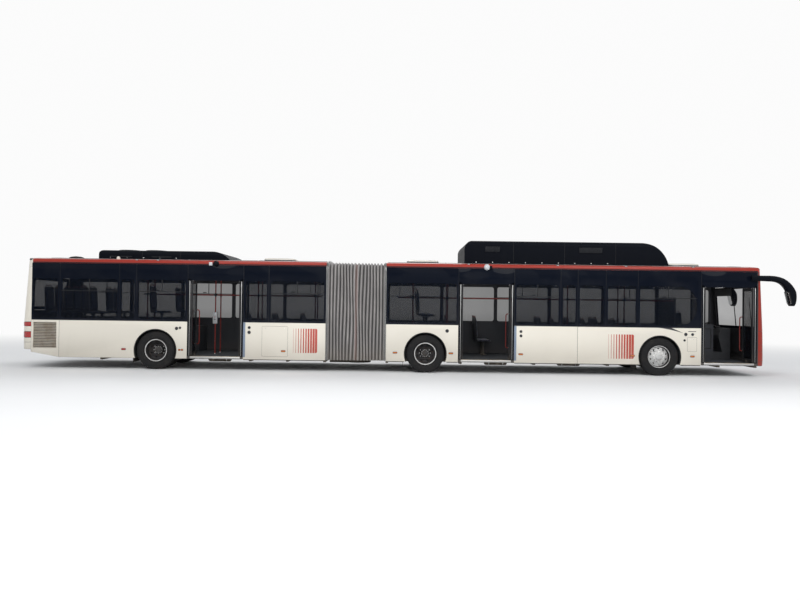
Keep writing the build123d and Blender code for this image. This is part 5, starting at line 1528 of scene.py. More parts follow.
def build_roofs():
    """Roof seams, hatches and the aerial."""
    for car, x0, x1 in (("front", FRONT_CAR_X0, NOSE_X0 - 0.3), ("rear", TAIL_X1 + 0.3, REAR_CAR_X1)):
        top = Piece(f"{car}_roof_fittings", "roof", "rubber", "plastic", "tail")
        count = int((x1 - x0) / 1.25)
        tubes(top, [across_roof(x, 1.10) for x in np.linspace(x0 + 0.03, x1, count)], 0.006, 0.0, 8)
        for y in (-0.98, 0.98):
            tubes(top, [[(x0 + 0.02, y, roof_z(y)), (x1, y, roof_z(y))]], 0.008, 0.0, 8, 1)
        for x in HATCHES[car]:
            foot = rounded(x - 0.412, x + 0.412, -0.392, 0.392, 0.072)
            top.slab(foot, on_flat, CROWN_Z - 0.02, CROWN_Z + 0.010, 0.004, material=1)
            lid = rounded(x - 0.404, x + 0.404, -0.384, 0.384, 0.064)
            top.slab(lid, on_flat, CROWN_Z + 0.026, CROWN_Z + 0.052, 0.016, material=3)
            top.slab(inset(lid, 0.09), on_flat, CROWN_Z + 0.05, CROWN_Z + 0.060, 0.008, material=3)
            for y in (-0.2, 0.2):
                top.box((x - 0.43, y - 0.035, CROWN_Z), (x - 0.396, y + 0.035, CROWN_Z + 0.036), 0.006, 2)
        if car == "rear":
            loops = []
            base = roof_z(0.85)
            for x, half, rise in (
                (-8.68, 0.012, 0.010), (-8.61, 0.07, 0.036), (-8.48, 0.085, 0.050), (-8.36, 0.07, 0.038),
                (-8.28, 0.012, 0.010),
            ):
                foot = [(x, -0.85 - half, base - 0.03), (x, -0.85 + half, base - 0.03)]
                crest = [(half * 0.9, 0.6), (half * 0.4, 1.0), (-half * 0.4, 1.0), (-half * 0.9, 0.6)]
                loops.append(foot + [(x, -0.85 + y, base + rise * share) for y, share in crest])
            top.loft(loops, 1)
            knob = ((0, -0.03), (0.045, -0.03), (0.045, 0.020), (0.038, 0.050), (0.020, 0.066), (0, 0.070))
            top.lathe(knob, (-7.30, -1.08, roof_z(1.08)), "z", 1, 24, 3)
        top.make(f"{car}_car", "roof_panel")


def build_roof_units():
    """Seams, vents, handles and fans of the two roof covers."""
    for node, body, seams, vents in (
        ("tank_cover", "front_car", (0.24, 0.49, 0.74), ((0.10, 0.18), (0.56, 0.68))),
        ("roof_cooler", "rear_car", (0.33, 0.62), ((0.08, 0.26), (0.40, 0.56))),
    ):
        a, b = low(node), high(node)
        top_z = COVER_TOP[node]
        trim = Piece(f"{node}_fittings", "cover", "rubber", "plastic", "chrome")
        edge = 0.116
        for share in seams:
            x = a.x + (b.x - a.x) * share
            seam_z = top_z - 0.0045
            y0, y1 = a.y + 0.001, b.y - 0.001
            line = [(x, y0, EDGE_Z + 0.03), (x, y0, seam_z), (x, y1, seam_z), (x, y1, EDGE_Z + 0.03)]
            tubes(trim, [line], 0.0045, edge, 8, 1)
        for side in (-1, 1):
            y = b.y * side
            trim.box(
                (a.x + 0.004, y - side * 0.01, EDGE_Z + 0.012),
                (b.x - 0.30, y + side * 0.008, EDGE_Z + 0.045), 0.004, 1,
            )
            for start, end in vents:
                x0, x1 = a.x + (b.x - a.x) * start, a.x + (b.x - a.x) * end
                z0, z1 = top_z - 0.20 - (0.10 if node == "tank_cover" else 0.0), top_z - 0.135
                frame_ring = rounded(x0, x1, z0, z1, 0.015)
                trim.slab(
                    frame_ring, on_side(side), abs(y) - 0.004, abs(y) + 0.006, 0.003,
                    [inset(frame_ring, 0.012)[::-1]],
                )
                count = int((x1 - x0 - 0.03) / 0.022)
                slot = Piece("slot").box(
                    (x0 + 0.014, y - side * 0.003, z0 + 0.014), (x0 + 0.022, y + side * 0.004, z1 - 0.014),
                    0.002,
                )
                copies(trim, slot, "row", count, (0.022, 0, 0), material=2)
            stud = Piece("stud")
            stud.lathe(
                round_head(0.013, -0.003, 0.002, 0.009, 0.005), (a.x + 0.30, y, EDGE_Z + 0.075), "y", side, 14
            )
            count = int((b.x - a.x - 1.1) / 0.42)
            copies(trim, stud, "row", count, (0.42, 0, 0), material=3)
        if node == "roof_cooler":
            for x in (a.x + 0.62, a.x + 1.32):
                for y in (-0.42, 0.42):
                    centre = (x, y, top_z)
                    trim.lathe(washer(0, 0.269, -0.004, 0.002), centre, "z", 1, 40, 2)
                    for radius in (0.10, 0.15, 0.20, 0.245):
                        trim.lathe(
                            washer(radius - 0.003, radius + 0.003, 0.014, 0.020), centre, "z", 1, 32, 1
                        )
                    spoke = Piece("spoke").box(
                        (x + 0.06, y - 0.004, top_z + 0.012), (x + 0.272, y + 0.004, top_z + 0.019), 0.001
                    )
                    copies(trim, spoke, "ring", 12, (0, 0, pi / 6), centre, 1)
        trim.make(body, "black_paint")


def door_place(x, way):
    """Frame of an open door leaf: along the leaf, out from it, up; and its pivot and hinge."""
    c, s = cos(OPEN_ANGLE), sin(OPEN_ANGLE)
    pivot = Vector((x - way * (DOOR_HALF - POST_IN), POST_Y, 0))
    hinge = pivot + Vector((way * c, s, 0)) * ARM
    rows = ((way * c, -way * s, 0, hinge.x), (-s, -c, 0, hinge.y), (0, 0, 1, 0), (0, 0, 0, 1))
    return Matrix(rows), pivot, hinge


# Door leaf: reach along it from its hinge, out from it, height
LEAF_A = (-0.280, 0.339)
LEAF_N = (0.008, 0.040)
LEAF_Z = (0.365, 2.235)


def build_doors():
    """Leaves with glass, seals and handrails, and the turning posts that carry them."""
    in_leaf = lambda p, w: (p[0], w, p[1])
    for number, x in enumerate(DOOR_X, 1):
        for way, name in ((1, "rear"), (-1, "front")):
            matrix, pivot, hinge = door_place(x, way)
            leaf = Piece(
                f"door_{number}_{name}_leaf_dressed", "alloy_dark", "glass", "rubber", "rail", "steel",
                "chrome",
            )
            outer = rounded(LEAF_A[0] + 0.006, LEAF_A[1] - 0.006, *LEAF_Z, 0.012)
            hole = rounded(
                LEAF_A[0] + 0.045, LEAF_A[1] - 0.045, LEAF_Z[0] + 0.075, LEAF_Z[1] - 0.075, 0.05, 6
            )
            leaf.slab(outer, in_leaf, LEAF_N[0], LEAF_N[1] - 0.004, 0.005, [hole[::-1]])
            leaf.slab(inset(outer, 0.004), in_leaf, 0.030, LEAF_N[1], 0.002, [inset(hole, -0.006)[::-1]], 2)
            leaf.slab(inset(hole, -0.008), in_leaf, 0.026, 0.033, 0.001, material=1)
            for a0, a1 in ((LEAF_A[0], LEAF_A[0] + 0.012), (LEAF_A[1] - 0.012, LEAF_A[1])):
                loops = [
                    [
                        (a0, 0.010, z), ((a0 + a1) / 2, 0.006, z), (a1, 0.010, z), (a1, 0.036, z),
                        ((a0 + a1) / 2, 0.041, z), (a0, 0.036, z),
                    ]
                    for z in (LEAF_Z[0] + 0.01, LEAF_Z[1] - 0.01)
                ]
                leaf.loft(loops, 2)
            leaf.box(
                (LEAF_A[0] + 0.01, 0.012, LEAF_Z[0] - 0.012), (LEAF_A[1] - 0.01, 0.030, LEAF_Z[0] + 0.01),
                0.004, 2,
            )
            rail_line = [
                (-0.256, 0.010, 1.50), (-0.256, -0.060, 1.50), (-0.256, -0.060, 0.62), (-0.256, 0.010, 0.62)
            ]
            tubes(leaf, [rail_line], 0.0132, 0.045, 12, 3)
            for a, n, z in (rail_line[0], rail_line[-1]):
                leaf.lathe(round_head(0.024, -0.004, 0.006, 0.018, 0.012), (a, n - 0.002, z), "y", -1, 20, 5)
            foot_z, top_z = LEAF_Z
            for a, half, z0, z1 in (
                (0.0, 0.020, top_z - 0.04, top_z), (0.0, 0.020, foot_z, foot_z + 0.04),
                (ARM, 0.015, top_z - 0.04, top_z)
            ):
                leaf.box((a - half, -0.012, z0), (a + half, 0.009, z1), 0.004, 4)
            pin = 0.008
            for a, z0, z1 in ((0, 0.346, 0.37), (0, 2.23, 2.252), (ARM, 2.23, 2.270)):
                leaf.lathe(round_head(pin, z0, z1 - 0.002, pin - 0.002, z1), (a, 0, 0), "z", 1, 16, 5)
            leaf.lathe(
                ((0, 2.268), (0.010, 2.268), (0.012, 2.270), (0.012, 2.290), (0.010, 2.292), (0, 2.292)),
                (ARM, 0, 0), "z", 1, 20, 2,
            )
            leaf.moved(matrix)
            leaf.make(f"door_{number}_{name}_leaf", "door_alloy", [f"door_{number}_{name}_leaf"])
            post = Piece(f"door_{number}_{name}_post_dressed", "steel", "rubber", "chrome")
            px, py = pivot.x, pivot.y
            post.lathe(
                (
                    (0, 0.314), (0.012, 0.314), (0.012, 0.342), (0.020, 0.342), (0.020, 2.302),
                    (0.012, 2.302), (0.012, 2.332), (0, 2.332),
                ),
                (px, py, 0), "z", 1, 24,
            )
            along = (hinge - pivot).normalized()
            across = Vector((-along.y, along.x, 0))
            for z in (0.346, 2.240):
                half = ((0.0, 0.016), (0.06, 0.016), (0.16, 0.0145), (0.26, 0.016), (ARM, 0.0155))
                outline = [pivot + along * a - across * w for a, w in half] + [
                    pivot + along * a + across * w for a, w in half[::-1]
                ]
                corners = [(p.x, p.y) for p in outline]
                post.slab(corners, on_flat, z, z + 0.012, 0.002)
                post.lathe(
                    ((0.0085, z), (0.022, z), (0.022, z + 0.010), (0.020, z + 0.012), (0.0085, z + 0.012)),
                    (hinge.x, hinge.y, 0), "z", 1, 24,
                )
                post.lathe(
                    (
                        (0.0202, z - 0.003), (0.028, z - 0.003), (0.028, z + 0.013), (0.025, z + 0.016),
                        (0.0202, z + 0.016),
                    ),
                    (px, py, 0), "z", 1, 24, 2,
                )
            post.make(f"door_{number}_{name}_post", "frame_steel", [f"door_{number}_{name}_post"])


def build_doorways():
    """Jamb strips, sills and step edges of the doorways."""
    inner = DOOR_HALF - JAMB
    for car, doors in CAR_DOORS.items():
        trim = Piece(f"{car}_doorway_trims", "black", "alloy", "rubber", "yellow", "plastic", "bevel", "frit")
        for x in doors:
            left, right = x - DOOR_HALF, x + DOOR_HALF
            # Along from and to, out of and into the wall, height from and to, edge radius, material
            bars = []
            for way in (-1, 1):
                edge_x = x + way * inner
                jamb_x = edge_x + way * 0.002, x + way * (DOOR_HALF - 0.002)
                bars += [
                    (*jamb_x, 0.003, 0.012, FLOOR_Z + 0.002, BAND_TOP - 0.36, 0.004, 0),
                    (edge_x, edge_x + way * 0.010, 0.004, 0.016, FLOOR_Z + 0.004, DOOR_TOP, 0.003, 2),
                    (
                        edge_x + way * 0.016, edge_x + way * 0.026, 0.006, 0.002, FLOOR_Z + 0.02,
                        DOOR_TOP - 0.01, 0.003, 1,
                    ),
                ]
            # Strip just ahead of each doorway but the first, coloured blue-grey as a painted sky reflection
            if x != DOOR_X[0]:
                strip_x = right + 0.003
                bars.append(
                    (strip_x, strip_x + 0.055, 0.0075, 0.002, SKIRT_Z + 0.06, WAIST_Z - 0.004, 0.003, 5)
                )
            bars += [
                (left + 0.002, right - 0.002, 0.003, 0.008, DOOR_TOP + 0.001, BAND_TOP - 0.002, 0.004, 6),
                (x - inner, x + inner, 0.001, 0.050, FLOOR_Z - 0.052, FLOOR_Z + 0.0015, 0.004, 1),
                (x - inner, x + inner, -0.052, 0.082, FLOOR_Z - 0.004, FLOOR_Z + 0.0015, 0.001, 3),
                (left + 0.004, right - 0.004, 0.002, 0.02, SKIRT_Z + 0.002, FLOOR_Z - 0.055, 0.004, 4),
            ]
            for x0, x1, out, deep, z0, z1, radius, material in bars:
                trim.box((x0, -HALF - out, z0), (x1, deep - HALF, z1), radius, material)
        trim.make(f"{car}_car", "black_paint")


def build_bellows():
    """Pleated cloth between the cars, and an end frame on each car."""
    s = sizes()
    x0, x1 = REAR_CAR_X1 + 0.05, FRONT_CAR_X0 - 0.05
    half, top, bottom, corner = HALF - 0.022, 2.752, 0.290, 0.20
    path = [(-half, z, -1.0, 0.0) for z in np.linspace(bottom, top - corner, 30)]
    for y, z in arc(-(half - corner), top - corner, corner, 180, 90, 12)[1:]:
        path.append((y, z, (y + half - corner) / corner, (z - top + corner) / corner))
    flank = path[::-1]
    path += [(y, top, 0.0, 1.0) for y in np.linspace(corner - half, half - corner, 24)[1:-1]]
    path += [(-y, z, -ny, nz) for y, z, ny, nz in flank]
    steps = 10
    count = s.pleats * steps
    cloth = Piece("bellows_cloth", "cloth", "rubber")
    verts, faces, folds = [], [], []
    for layer in (0.0, 0.004):
        for i in range(count + 1):
            share = i / steps % 1.0
            wave = 0.5 + 0.5 * cos(2 * pi * share)
            depth = s.pleat * (1 - wave ** 0.7)
            for y, z, ny, nz in path:
                sway = 0.016 * sin(pi * i / count) * sin(2.4 * z + 0.7 * i / steps)
                x = x0 + (x1 - x0) * i / count + sway
                verts.append((x, y - ny * (depth + layer), z - nz * (depth + layer)))
                folds.append(1 - depth / s.pleat)
    width = len(path)
    size = (count + 1) * width
    for start in (0, size):
        for i in range(count):
            for j in range(width - 1):
                a = start + i * width + j
                faces.append((a, a + 1, a + width + 1, a + width))
    rim = list(range(width)) + [i * width + width - 1 for i in range(1, count + 1)]
    rim += [count * width + j for j in range(width - 2, -1, -1)]
    rim += [i * width for i in range(count - 1, 0, -1)]
    faces += [(a, b, b + size, a + size) for a, b in zip(rim, rim[1:] + rim[:1])]
    cloth.oriented(verts, faces)
    made = cloth.make(None, "bellows_cloth", ["bellows"], 70)
    # Fold height, which the cloth material turns into painted shade in the valleys and painted highlight on
    # the ridges
    layer = made.data.attributes.new("fold", "FLOAT", "POINT")
    layer.data.foreach_set("value", folds)
    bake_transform(made)
    girth = sum(hypot(b[0] - a[0], b[1] - a[1]) for a, b in zip(path, path[1:]))
    for car, x, way in (("rear", REAR_CAR_X1, 1), ("front", FRONT_CAR_X0, -1)):
        hoop = Piece(f"{car}_bellows_frame", "alloy", "rubber", "red", "chrome")
        outline = [(y + ny * 0.012, z + nz * 0.012) for y, z, ny, nz in path]
        inside = [(y - ny * (s.pleat + 0.02), z - nz * (s.pleat + 0.02)) for y, z, ny, nz in path]
        loops = []
        for (ya, za), (yb, zb) in zip(outline, inside):
            loops.append(
                [
                    (x, ya, za), (x + way * 0.045, ya, za), (x + way * 0.048, (ya + yb) / 2, (za + zb) / 2),
                    (x + way * 0.045, yb, zb), (x, yb, zb),
                ]
            )
        hoop.loft(loops, 1)
        lines = [
            [(x + way * d, y + ny * 0.014, z + nz * 0.014) for y, z, ny, nz in path] for d in (0.010, 0.036)
        ]
        tubes(hoop, lines, 0.005, 0.0, 8, 0)
        hoop.make(f"{car}_car", "frame_steel")


# Wheels
TYRE_HALF = 0.1375
GROOVES = (-0.066, -0.022, 0.022, 0.066)


def tyre_profile(depth):
    """Closed outline of a tyre: bead, bulged walls with rings, shoulders and grooved tread."""
    wall = [
        (RIM_R + 0.001, 0.098), (RIM_R + 0.006, 0.112), (0.302, 0.121), (0.318, 0.128), (0.322, 0.1315),
        (0.326, 0.1295),
        (0.345, 0.134), (0.372, 0.1368), (0.376, TYRE_HALF), (0.380, 0.1366), (0.408, 0.1355),
        (0.432, 0.1305), (0.436, 0.1312), (0.440, 0.128), (0.456, 0.121), (0.466, 0.1145),
    ]
    tread = []
    edge = 0.109
    for groove in GROOVES:
        for o, deep in (
            (groove - 0.0055, 0), (groove - 0.0035, 1), (groove + 0.0035, 1), (groove + 0.0055, 0)
        ):
            tread.append((TYRE_R - 0.0005 - 0.006 * (o / edge) ** 2 - depth * deep, o))
    left = [(r, -o) for r, o in wall]
    right = wall[::-1]
    crown = [(TYRE_R - 0.0068, -edge)] + tread + [(TYRE_R - 0.0068, edge)]
    return left + crown + right


def build_tyres():
    """Road tyres: rings on the walls, grooves, and blocks along both shoulders."""
    s = sizes()
    profile = tyre_profile(s.tread)
    for body, nodes, x, spots in WHEELS:
        side = 1 if body.endswith("left") else -1
        for index, y in enumerate(spots):
            name = f"tyre_{body[6:]}_{index + 1}"
            tyre = Piece(name, "tyre")
            tyre.lathe(profile, (x, side * y, AXLE_Z), "y", side, 112)
            for way in (-1, 1):
                for a0, r0, r1, o0, o1 in (
                    (0.0, 0.440, 0.4735, 0.104, 0.1215), (0.5, 0.452, 0.4745, 0.092, 0.110)
                ):
                    width = 0.011
                    loops = []
                    for r, shrink in ((r0, 1.3), (r1 - 0.002, 1.0), (r1, 0.8)):
                        w = width * shrink
                        loops.append(
                            [(r, -w, way * o0), (r, w, way * o0), (r, w, way * o1), (r, -w, way * o1)]
                        )
                    block = Piece("block").loft(loops)
                    turn = 2 * pi * a0 / s.lugs
                    block.moved(
                        Matrix(((1, 0, 0, x), (0, 0, side, side * y), (0, 1, 0, AXLE_Z), (0, 0, 0, 1)))
                    )
                    block.moved(turned((x, 0, AXLE_Z), turn))
                    copies(tyre, block, "ring", s.lugs, (0, 2 * pi / s.lugs, 0), (x, 0, AXLE_Z))
            tyre.make(body, "tyre", [nodes[0]] if index == 0 else [])


def turned(centre, angle):
    """Turn about the wheel axis through a place."""
    place = Matrix.Translation(centre)
    return place @ Matrix.Rotation(angle, 4, "Y") @ place.inverted()


# Body, nodes of its tyres and rims, place along, places across
WHEELS = [
    (f"wheel_{axle}_{hand}", (f"tyre{plural}_{axle}_{hand}", f"rim{plural}_{axle}_{hand}"), x, spots)
    for axle, plural, x, spots in (
        ("front", "", FRONT_AXLE_X, (FRONT_WHEEL_Y,)),
        ("middle", "s", MIDDLE_AXLE_X, (TWIN_Y + TWIN_GAP, TWIN_Y - TWIN_GAP)),
        ("rear", "s", REAR_AXLE_X, (TWIN_Y + TWIN_GAP, TWIN_Y - TWIN_GAP)),
    )
    for _, hand in SIDES
]
DISC_OUTER, DISC_INNER = 0.262, 0.104


def rim_barrel(piece, x, y, side, material=0):
    """Rolled steel rim with its flanges and drop centre."""
    outer = [
        (0.262, -0.115), (0.286, -0.115), (0.286, -0.106), (0.281, -0.098), (0.278, -0.060), (0.262, -0.040),
        (0.262, 0.020), (0.278, 0.045), (0.281, 0.098), (0.286, 0.106), (0.286, 0.115), (0.262, 0.115),
    ]
    inner = [
        (0.256, 0.112), (0.263, 0.102), (0.268, 0.050), (0.253, 0.020), (0.253, -0.040), (0.268, -0.066),
        (0.263, -0.102), (0.256, -0.112),
    ]
    piece.lathe(outer + inner, (x, y, AXLE_Z), "y", side, 72, material)


def wheel_disc(piece, x, y, side, dish, holes, material=0):
    """Dished disc with hand holes; dish gives offsets at the outer and inner radius."""
    outline = arc(0, 0, DISC_OUTER, 0, 360, 72)[:-1]
    cuts = [arc(0, 0, DISC_INNER, 360, 0, 48)[:-1]]
    mid_r = 0.203
    for i in range(holes):
        turn = 2 * pi * (i + 0.5) / holes
        loop = [(mid_r + 0.019 * cos(a), 0.024 * sin(a)) for a in np.linspace(2 * pi, 0, 17)[:-1]]
        cuts.append([(u * cos(turn) - v * sin(turn), u * sin(turn) + v * cos(turn)) for u, v in loop])

    def place(p, w):
        share = (DISC_OUTER - hypot(*p)) / (DISC_OUTER - DISC_INNER)
        return (x + p[0], y + side * (w + dish[0] + (dish[1] - dish[0]) * share), AXLE_Z + p[1])

    piece.slab(outline, place, -0.010, 0.003, 0.004, cuts, material)


def nut_ring(piece, centre, side, radius, offset, material):
    """Wheel nuts with washers and stud ends round the hub."""
    x, y, z = centre
    count = sizes().nuts
    nut = Piece("nut")
    for profile, steps in (
        (washer(0, 0.021, 0, 0.004), 12), (round_head(0.0165, 0.004, 0.021, 0.014, 0.025), 6),
        (round_head(0.010, 0.02, 0.033, 0.008, 0.036), 10),
    ):
        nut.lathe(profile, (x + radius, y + side * offset, z), "y", side, steps)
    copies(piece, nut, "ring", count, (0, 2 * pi / count, 0), (x, 0, z), material)


def build_rims():
    """Steel wheels: front ones with a domed hub, twin ones dished deep round the axle end."""
    for body, nodes, x, spots in WHEELS:
        side = 1 if body.endswith("left") else -1
        front = "front" in body
        rim = Piece(f"rim_{body[6:]}", "rim", "hub", "chrome", "dark_rim")
        dish, holes, paint_at = ((0.052, 0.086), 10, 0) if front else ((-0.098, -0.150), 8, 3)
        for index, y in enumerate(spots):
            way = -side if index else side
            rim_barrel(rim, x, side * y, way, 3)
            wheel_disc(rim, x, side * y, way, dish, holes, paint_at)
        centre = (x, side * (FRONT_WHEEL_Y if front else TWIN_Y), AXLE_Z)
        if front:
            hub = (
                (0.0605, -0.02), (0.112, -0.02), (0.112, 0.074), (0.108, 0.094), (0.100, 0.101),
                (0.084, 0.106), (0.080, 0.118), (0.070, 0.126), (0.052, 0.1285), (0, 0.1285), (0, 0.070),
                (0.0605, 0.070),
            )
            rim.lathe(hub, centre, "y", side, 48, 0)
            rim.lathe(
                ((0.095, 0.090), (0.150, 0.086), (0.150, 0.092), (0.130, 0.097), (0.095, 0.104)), centre, "y",
                side, 48, 2,
            )
            nut_ring(rim, centre, side, 0.130, 0.088, 2)
            # Dark ring at the disc's outer edge: painted shade where the disc meets the rim
            gap = ((0.244, 0.046), (0.262, 0.046), (0.262, 0.060), (0.244, 0.063))
            rim.lathe(gap, centre, "y", side, 72, 3)
        else:
            hub = (
                (0.0605, -0.088), (0.108, -0.088), (0.112, 0.028), (0.106, 0.060), (0.090, 0.078),
                (0.074, 0.086), (0.074, 0.112), (0.062, 0.119), (0, 0.119), (0, 0.070), (0.0605, 0.070),
            )
            rim.lathe(hub, centre, "y", side, 48, 1)
            bolt = Piece("bolt").lathe(
                ((0, 0.080), (0.008, 0.080), (0.008, 0.090), (0, 0.091)), (x + 0.088, centre[1], AXLE_Z), "y",
                side, 6,
            )
            copies(rim, bolt, "ring", 12, (0, pi / 6, 0), (x, 0, AXLE_Z), 2)
            nut_ring(rim, centre, side, 0.138, 0.004, 0)
        shift = 0.0 if front else 0.006
        edge = [
            (0.268 - shift, 0.110), (0.277, 0.1155), (0.277, 0.118), (0.270, 0.1192), (0.264 - shift, 0.1165)
        ]
        rim.lathe(edge, (x, side * spots[0], AXLE_Z), "y", side, 72, 0)
        rim.make(body, "wheel_steel", [nodes[1]])


# Inside
SEAT_HIGH = 0.43


def seat_places():
    """Seats of each car: front edge along the bus, place across it, height of the cushion."""
    wall, pair, four = (-0.925, 0.925), (0.52, 0.96), (-0.96, -0.52, 0.52, 0.96)
    deck = (-0.925, -0.46, 0.46, 0.925)
    front = (
        (FRONT_AXLE_X - 0.64, four, FLOOR_Z), (FRONT_AXLE_X - 1.42, four, FLOOR_Z),
        (FRONT_AXLE_X - 2.20, (-0.96, 0.52, 0.96), FLOOR_Z), (MIDDLE_AXLE_X + 1.90, pair, FLOOR_Z),
        (MIDDLE_AXLE_X + 1.10, pair, FLOOR_Z), (MIDDLE_AXLE_X + 0.25, wall, BOX_TOP),
        (NOSE_X0 - 0.74, (DRIVER_Y,), FLOOR_Z + 0.20),
    )
    rear = (
        (REAR_CAR_X1 - 0.42, pair, FLOOR_Z), (REAR_CAR_X1 - 1.20, pair, FLOOR_Z),
        (REAR_CAR_X1 - 1.98, pair, FLOOR_Z),
        (REAR_AXLE_X + 0.25, wall, BOX_TOP), (REAR_AXLE_X - 1.50, deck, DECK_Z),
        (REAR_AXLE_X - 2.40, (0.0, *deck), DECK_Z),
    )
    tables = (("front", front), ("rear", rear))
    return {car: [(x, y, z + SEAT_HIGH) for x, places, z in rows for y in places] for car, rows in tables}


# Seat shell seen from the side: outer skin, inner skin, way in which the sides turn up
SHELL = (
    ((-0.004, -0.048), (-0.004, -0.040), (0.0, 1.0)), ((-0.050, -0.057), (-0.052, -0.047), (0.0, 1.0)),
    ((-0.375, -0.060), (-0.370, -0.049), (0.0, 1.0)), ((-0.425, -0.048), (-0.410, -0.040), (0.6, 0.8)),
    ((-0.446, -0.005), (-0.430, 0.002), (0.9, 0.3)), ((-0.462, 0.300), (-0.449, 0.300), (1.0, 0.0)),
    ((-0.476, 0.585), (-0.463, 0.585), (1.0, 0.0)), ((-0.473, 0.614), (-0.465, 0.608), (1.0, -0.3)),
)


def seat_shell():
    """One moulded seat shell on its leg, with a handle on its back; its front edge is at X 0."""
    shell = Piece("shell", "shell", "steel", "rail", "chrome")
    loops = []
    for y in (-0.215, -0.205, -0.165, -0.05, 0.05, 0.165, 0.205, 0.215):
        lift = 0.012 * max(0.0, (abs(y) - 0.16) / 0.05)
        thin = 0.25 if abs(y) > 0.21 else 1.0
        outer, inner = [], []
        for (ox, oz), (ix, iz), (nx, nz) in SHELL:
            mx, mz = (ox + ix) / 2, (oz + iz) / 2
            outer.append((mx + (ox - mx) * thin + nx * lift, y, mz + (oz - mz) * thin + nz * lift))
            inner.append((mx + (ix - mx) * thin + nx * lift, y, mz + (iz - mz) * thin + nz * lift))
        loops.append(outer + inner[::-1])
    shell.loft(loops)
    leg = (
        (0, -0.422), (0.050, -0.422), (0.048, -0.412), (0.0305, -0.400), (0.0305, -0.085), (0.060, -0.066),
        (0.060, -0.060), (0, -0.060),
    )
    shell.lathe(leg, (-0.22, 0, 0), "z", 1, 20, 1)
    shell.box((-0.301, -0.081, -0.430), (-0.139, 0.081, -0.4215), 0.003, 1)
    for x, y in ((-0.285, -0.065), (-0.285, 0.065), (-0.155, -0.065), (-0.155, 0.065)):
        shell.lathe(((0, -0.422), (0.010, -0.422), (0.010, -0.414), (0, -0.413)), (x, y, 0), "z", 1, 6, 3)
    handle = [(-0.468, -0.12, 0.60), (-0.470, -0.12, 0.650), (-0.470, 0.12, 0.650), (-0.468, 0.12, 0.60)]
    return tubes(shell, [handle], 0.011, 0.030, 8, 2)


# Seat pads: length, width, thickness before they swell, middle, way along, way out
PADS = (
    (0.345, 0.392, 0.028, (-0.198, 0.0, -0.026), (1.0, 0.0, 0.0), (0.0, 0.0, 1.0)),
    (0.520, 0.388, 0.022, (-0.4265, 0.0, 0.315), (-0.072, 0.0, 0.9974), (0.9974, 0.0, 0.072)),
)


def pad_outline(length, width, pull=0.006, count=40):
    """Outline of a pad whose sides pull in between its round corners."""
    points = []
    for a in np.linspace(0, 2 * pi, count + 1)[:-1]:
        u, v = (np.sign(w) * abs(w) ** 0.32 for w in (cos(a), sin(a)))
        points.append((u * (length / 2 - pull * (1 - v * v)), v * (width / 2 - pull * (1 - u * u))))
    return points


def swollen(mesh, cap, pressure=4.0):
    """Mesh blown up by cloth simulation, with no point moved further than the cap."""
    scene = bpy.context.scene
    before = corners_of(mesh)
    holder = bpy.data.objects.new("swelling", mesh)
    scene.collection.objects.link(holder)
    cloth = holder.modifiers.new("cloth", "CLOTH")
    cloth.settings.use_pressure = True
    cloth.settings.uniform_pressure_force = pressure
    cloth.settings.effector_weights.gravity = 0
    cloth.point_cache.frame_start, cloth.point_cache.frame_end = 1, 20
    for frame_number in range(1, 21):
        scene.frame_set(frame_number)
    graph = bpy.context.evaluated_depsgraph_get()
    after = corners_of(holder.evaluated_get(graph).data)
    move = after - before
    far = np.linalg.norm(move, axis=1)[:, None]
    after = before + move * np.minimum(1.0, cap / np.maximum(far, 1e-9))
    holder.modifiers.remove(cloth)
    bpy.data.objects.remove(holder)
    mesh.vertices.foreach_set("co", after.ravel())
    scene.frame_set(1)
    return mesh


def pad_mesh(length, width, thick):
    """One pad, swollen as cloth, with two sewn channels along it."""
    form = Piece("pad")
    outline = pad_outline(length, width)
    levels = ((-0.5, 0.010), (-0.35, 0.003), (0.0, 0.0), (0.35, 0.003), (0.5, 0.010))
    form.loft([[(x, y, thick * share) for x, y in inset(outline, step)] for share, step in levels])
    mesh = bpy.data.meshes.new("pad")
    mesh.from_pydata(form.verts[0].tolist(), [], form.faces)
    mesh = remade(mesh, "REMESH", mode="VOXEL", voxel_size=0.010)
    cap = sizes().crown * 0.75
    mesh = swollen(mesh, cap)
    mesh = remade(mesh, "SUBSURF", levels=1, render_levels=1)
    points = corners_of(mesh)
    reach = np.clip(1 - (2 * points[:, 0] / (length * 0.92)) ** 8, 0, 1)
    for y in (-0.075, 0.075):
        groove = np.exp(-((points[:, 1] - y) / 0.007) ** 2) * reach
        points[:, 2] -= np.sign(points[:, 2]) * 0.0045 * groove * (abs(points[:, 2]) > thick * 0.3)
    mesh.vertices.foreach_set("co", points.ravel())
    return remade(mesh, "DECIMATE", ratio=0.09)


def build_seats():
    """Moulded seat shells, and their pads as cloth with piping round the edge."""
    shell = seat_shell()
    pads = []
    for length, width, thick, centre, along, out in PADS:
        matrix = Matrix((*zip(along, (0.0, 1.0, 0.0), out, centre), (0, 0, 0, 1)))
        pads.append((matrix, pad_mesh(length, width, thick), pad_outline(length, width)))
    for car, places in seat_places().items():
        shells = Piece(f"{car}_seat_shells", *shell.materials)
        for number, place in enumerate(places, 1):
            shift = Matrix.Translation(place)
            shells.join(Piece("one").join(shell).moved(shift))
            pad = Piece(f"{car}_seat_pads_{number}", "seat", "shell")
            for matrix, mesh, outline in pads:
                pad.join(Piece("form").absorb(mesh.copy()).moved(matrix))
                line = [matrix @ Vector((x, y, 0.0)) for x, y in outline[::2] + outline[:1]]
                tubes(pad, [line], 0.004, 0.0, 5, 1)
            made = pad.moved(shift).make(f"{car}_car", "seat_cloth", (), 60)
        shells.make(f"{car}_car", "seat_cloth", [f"{car}_seats"])


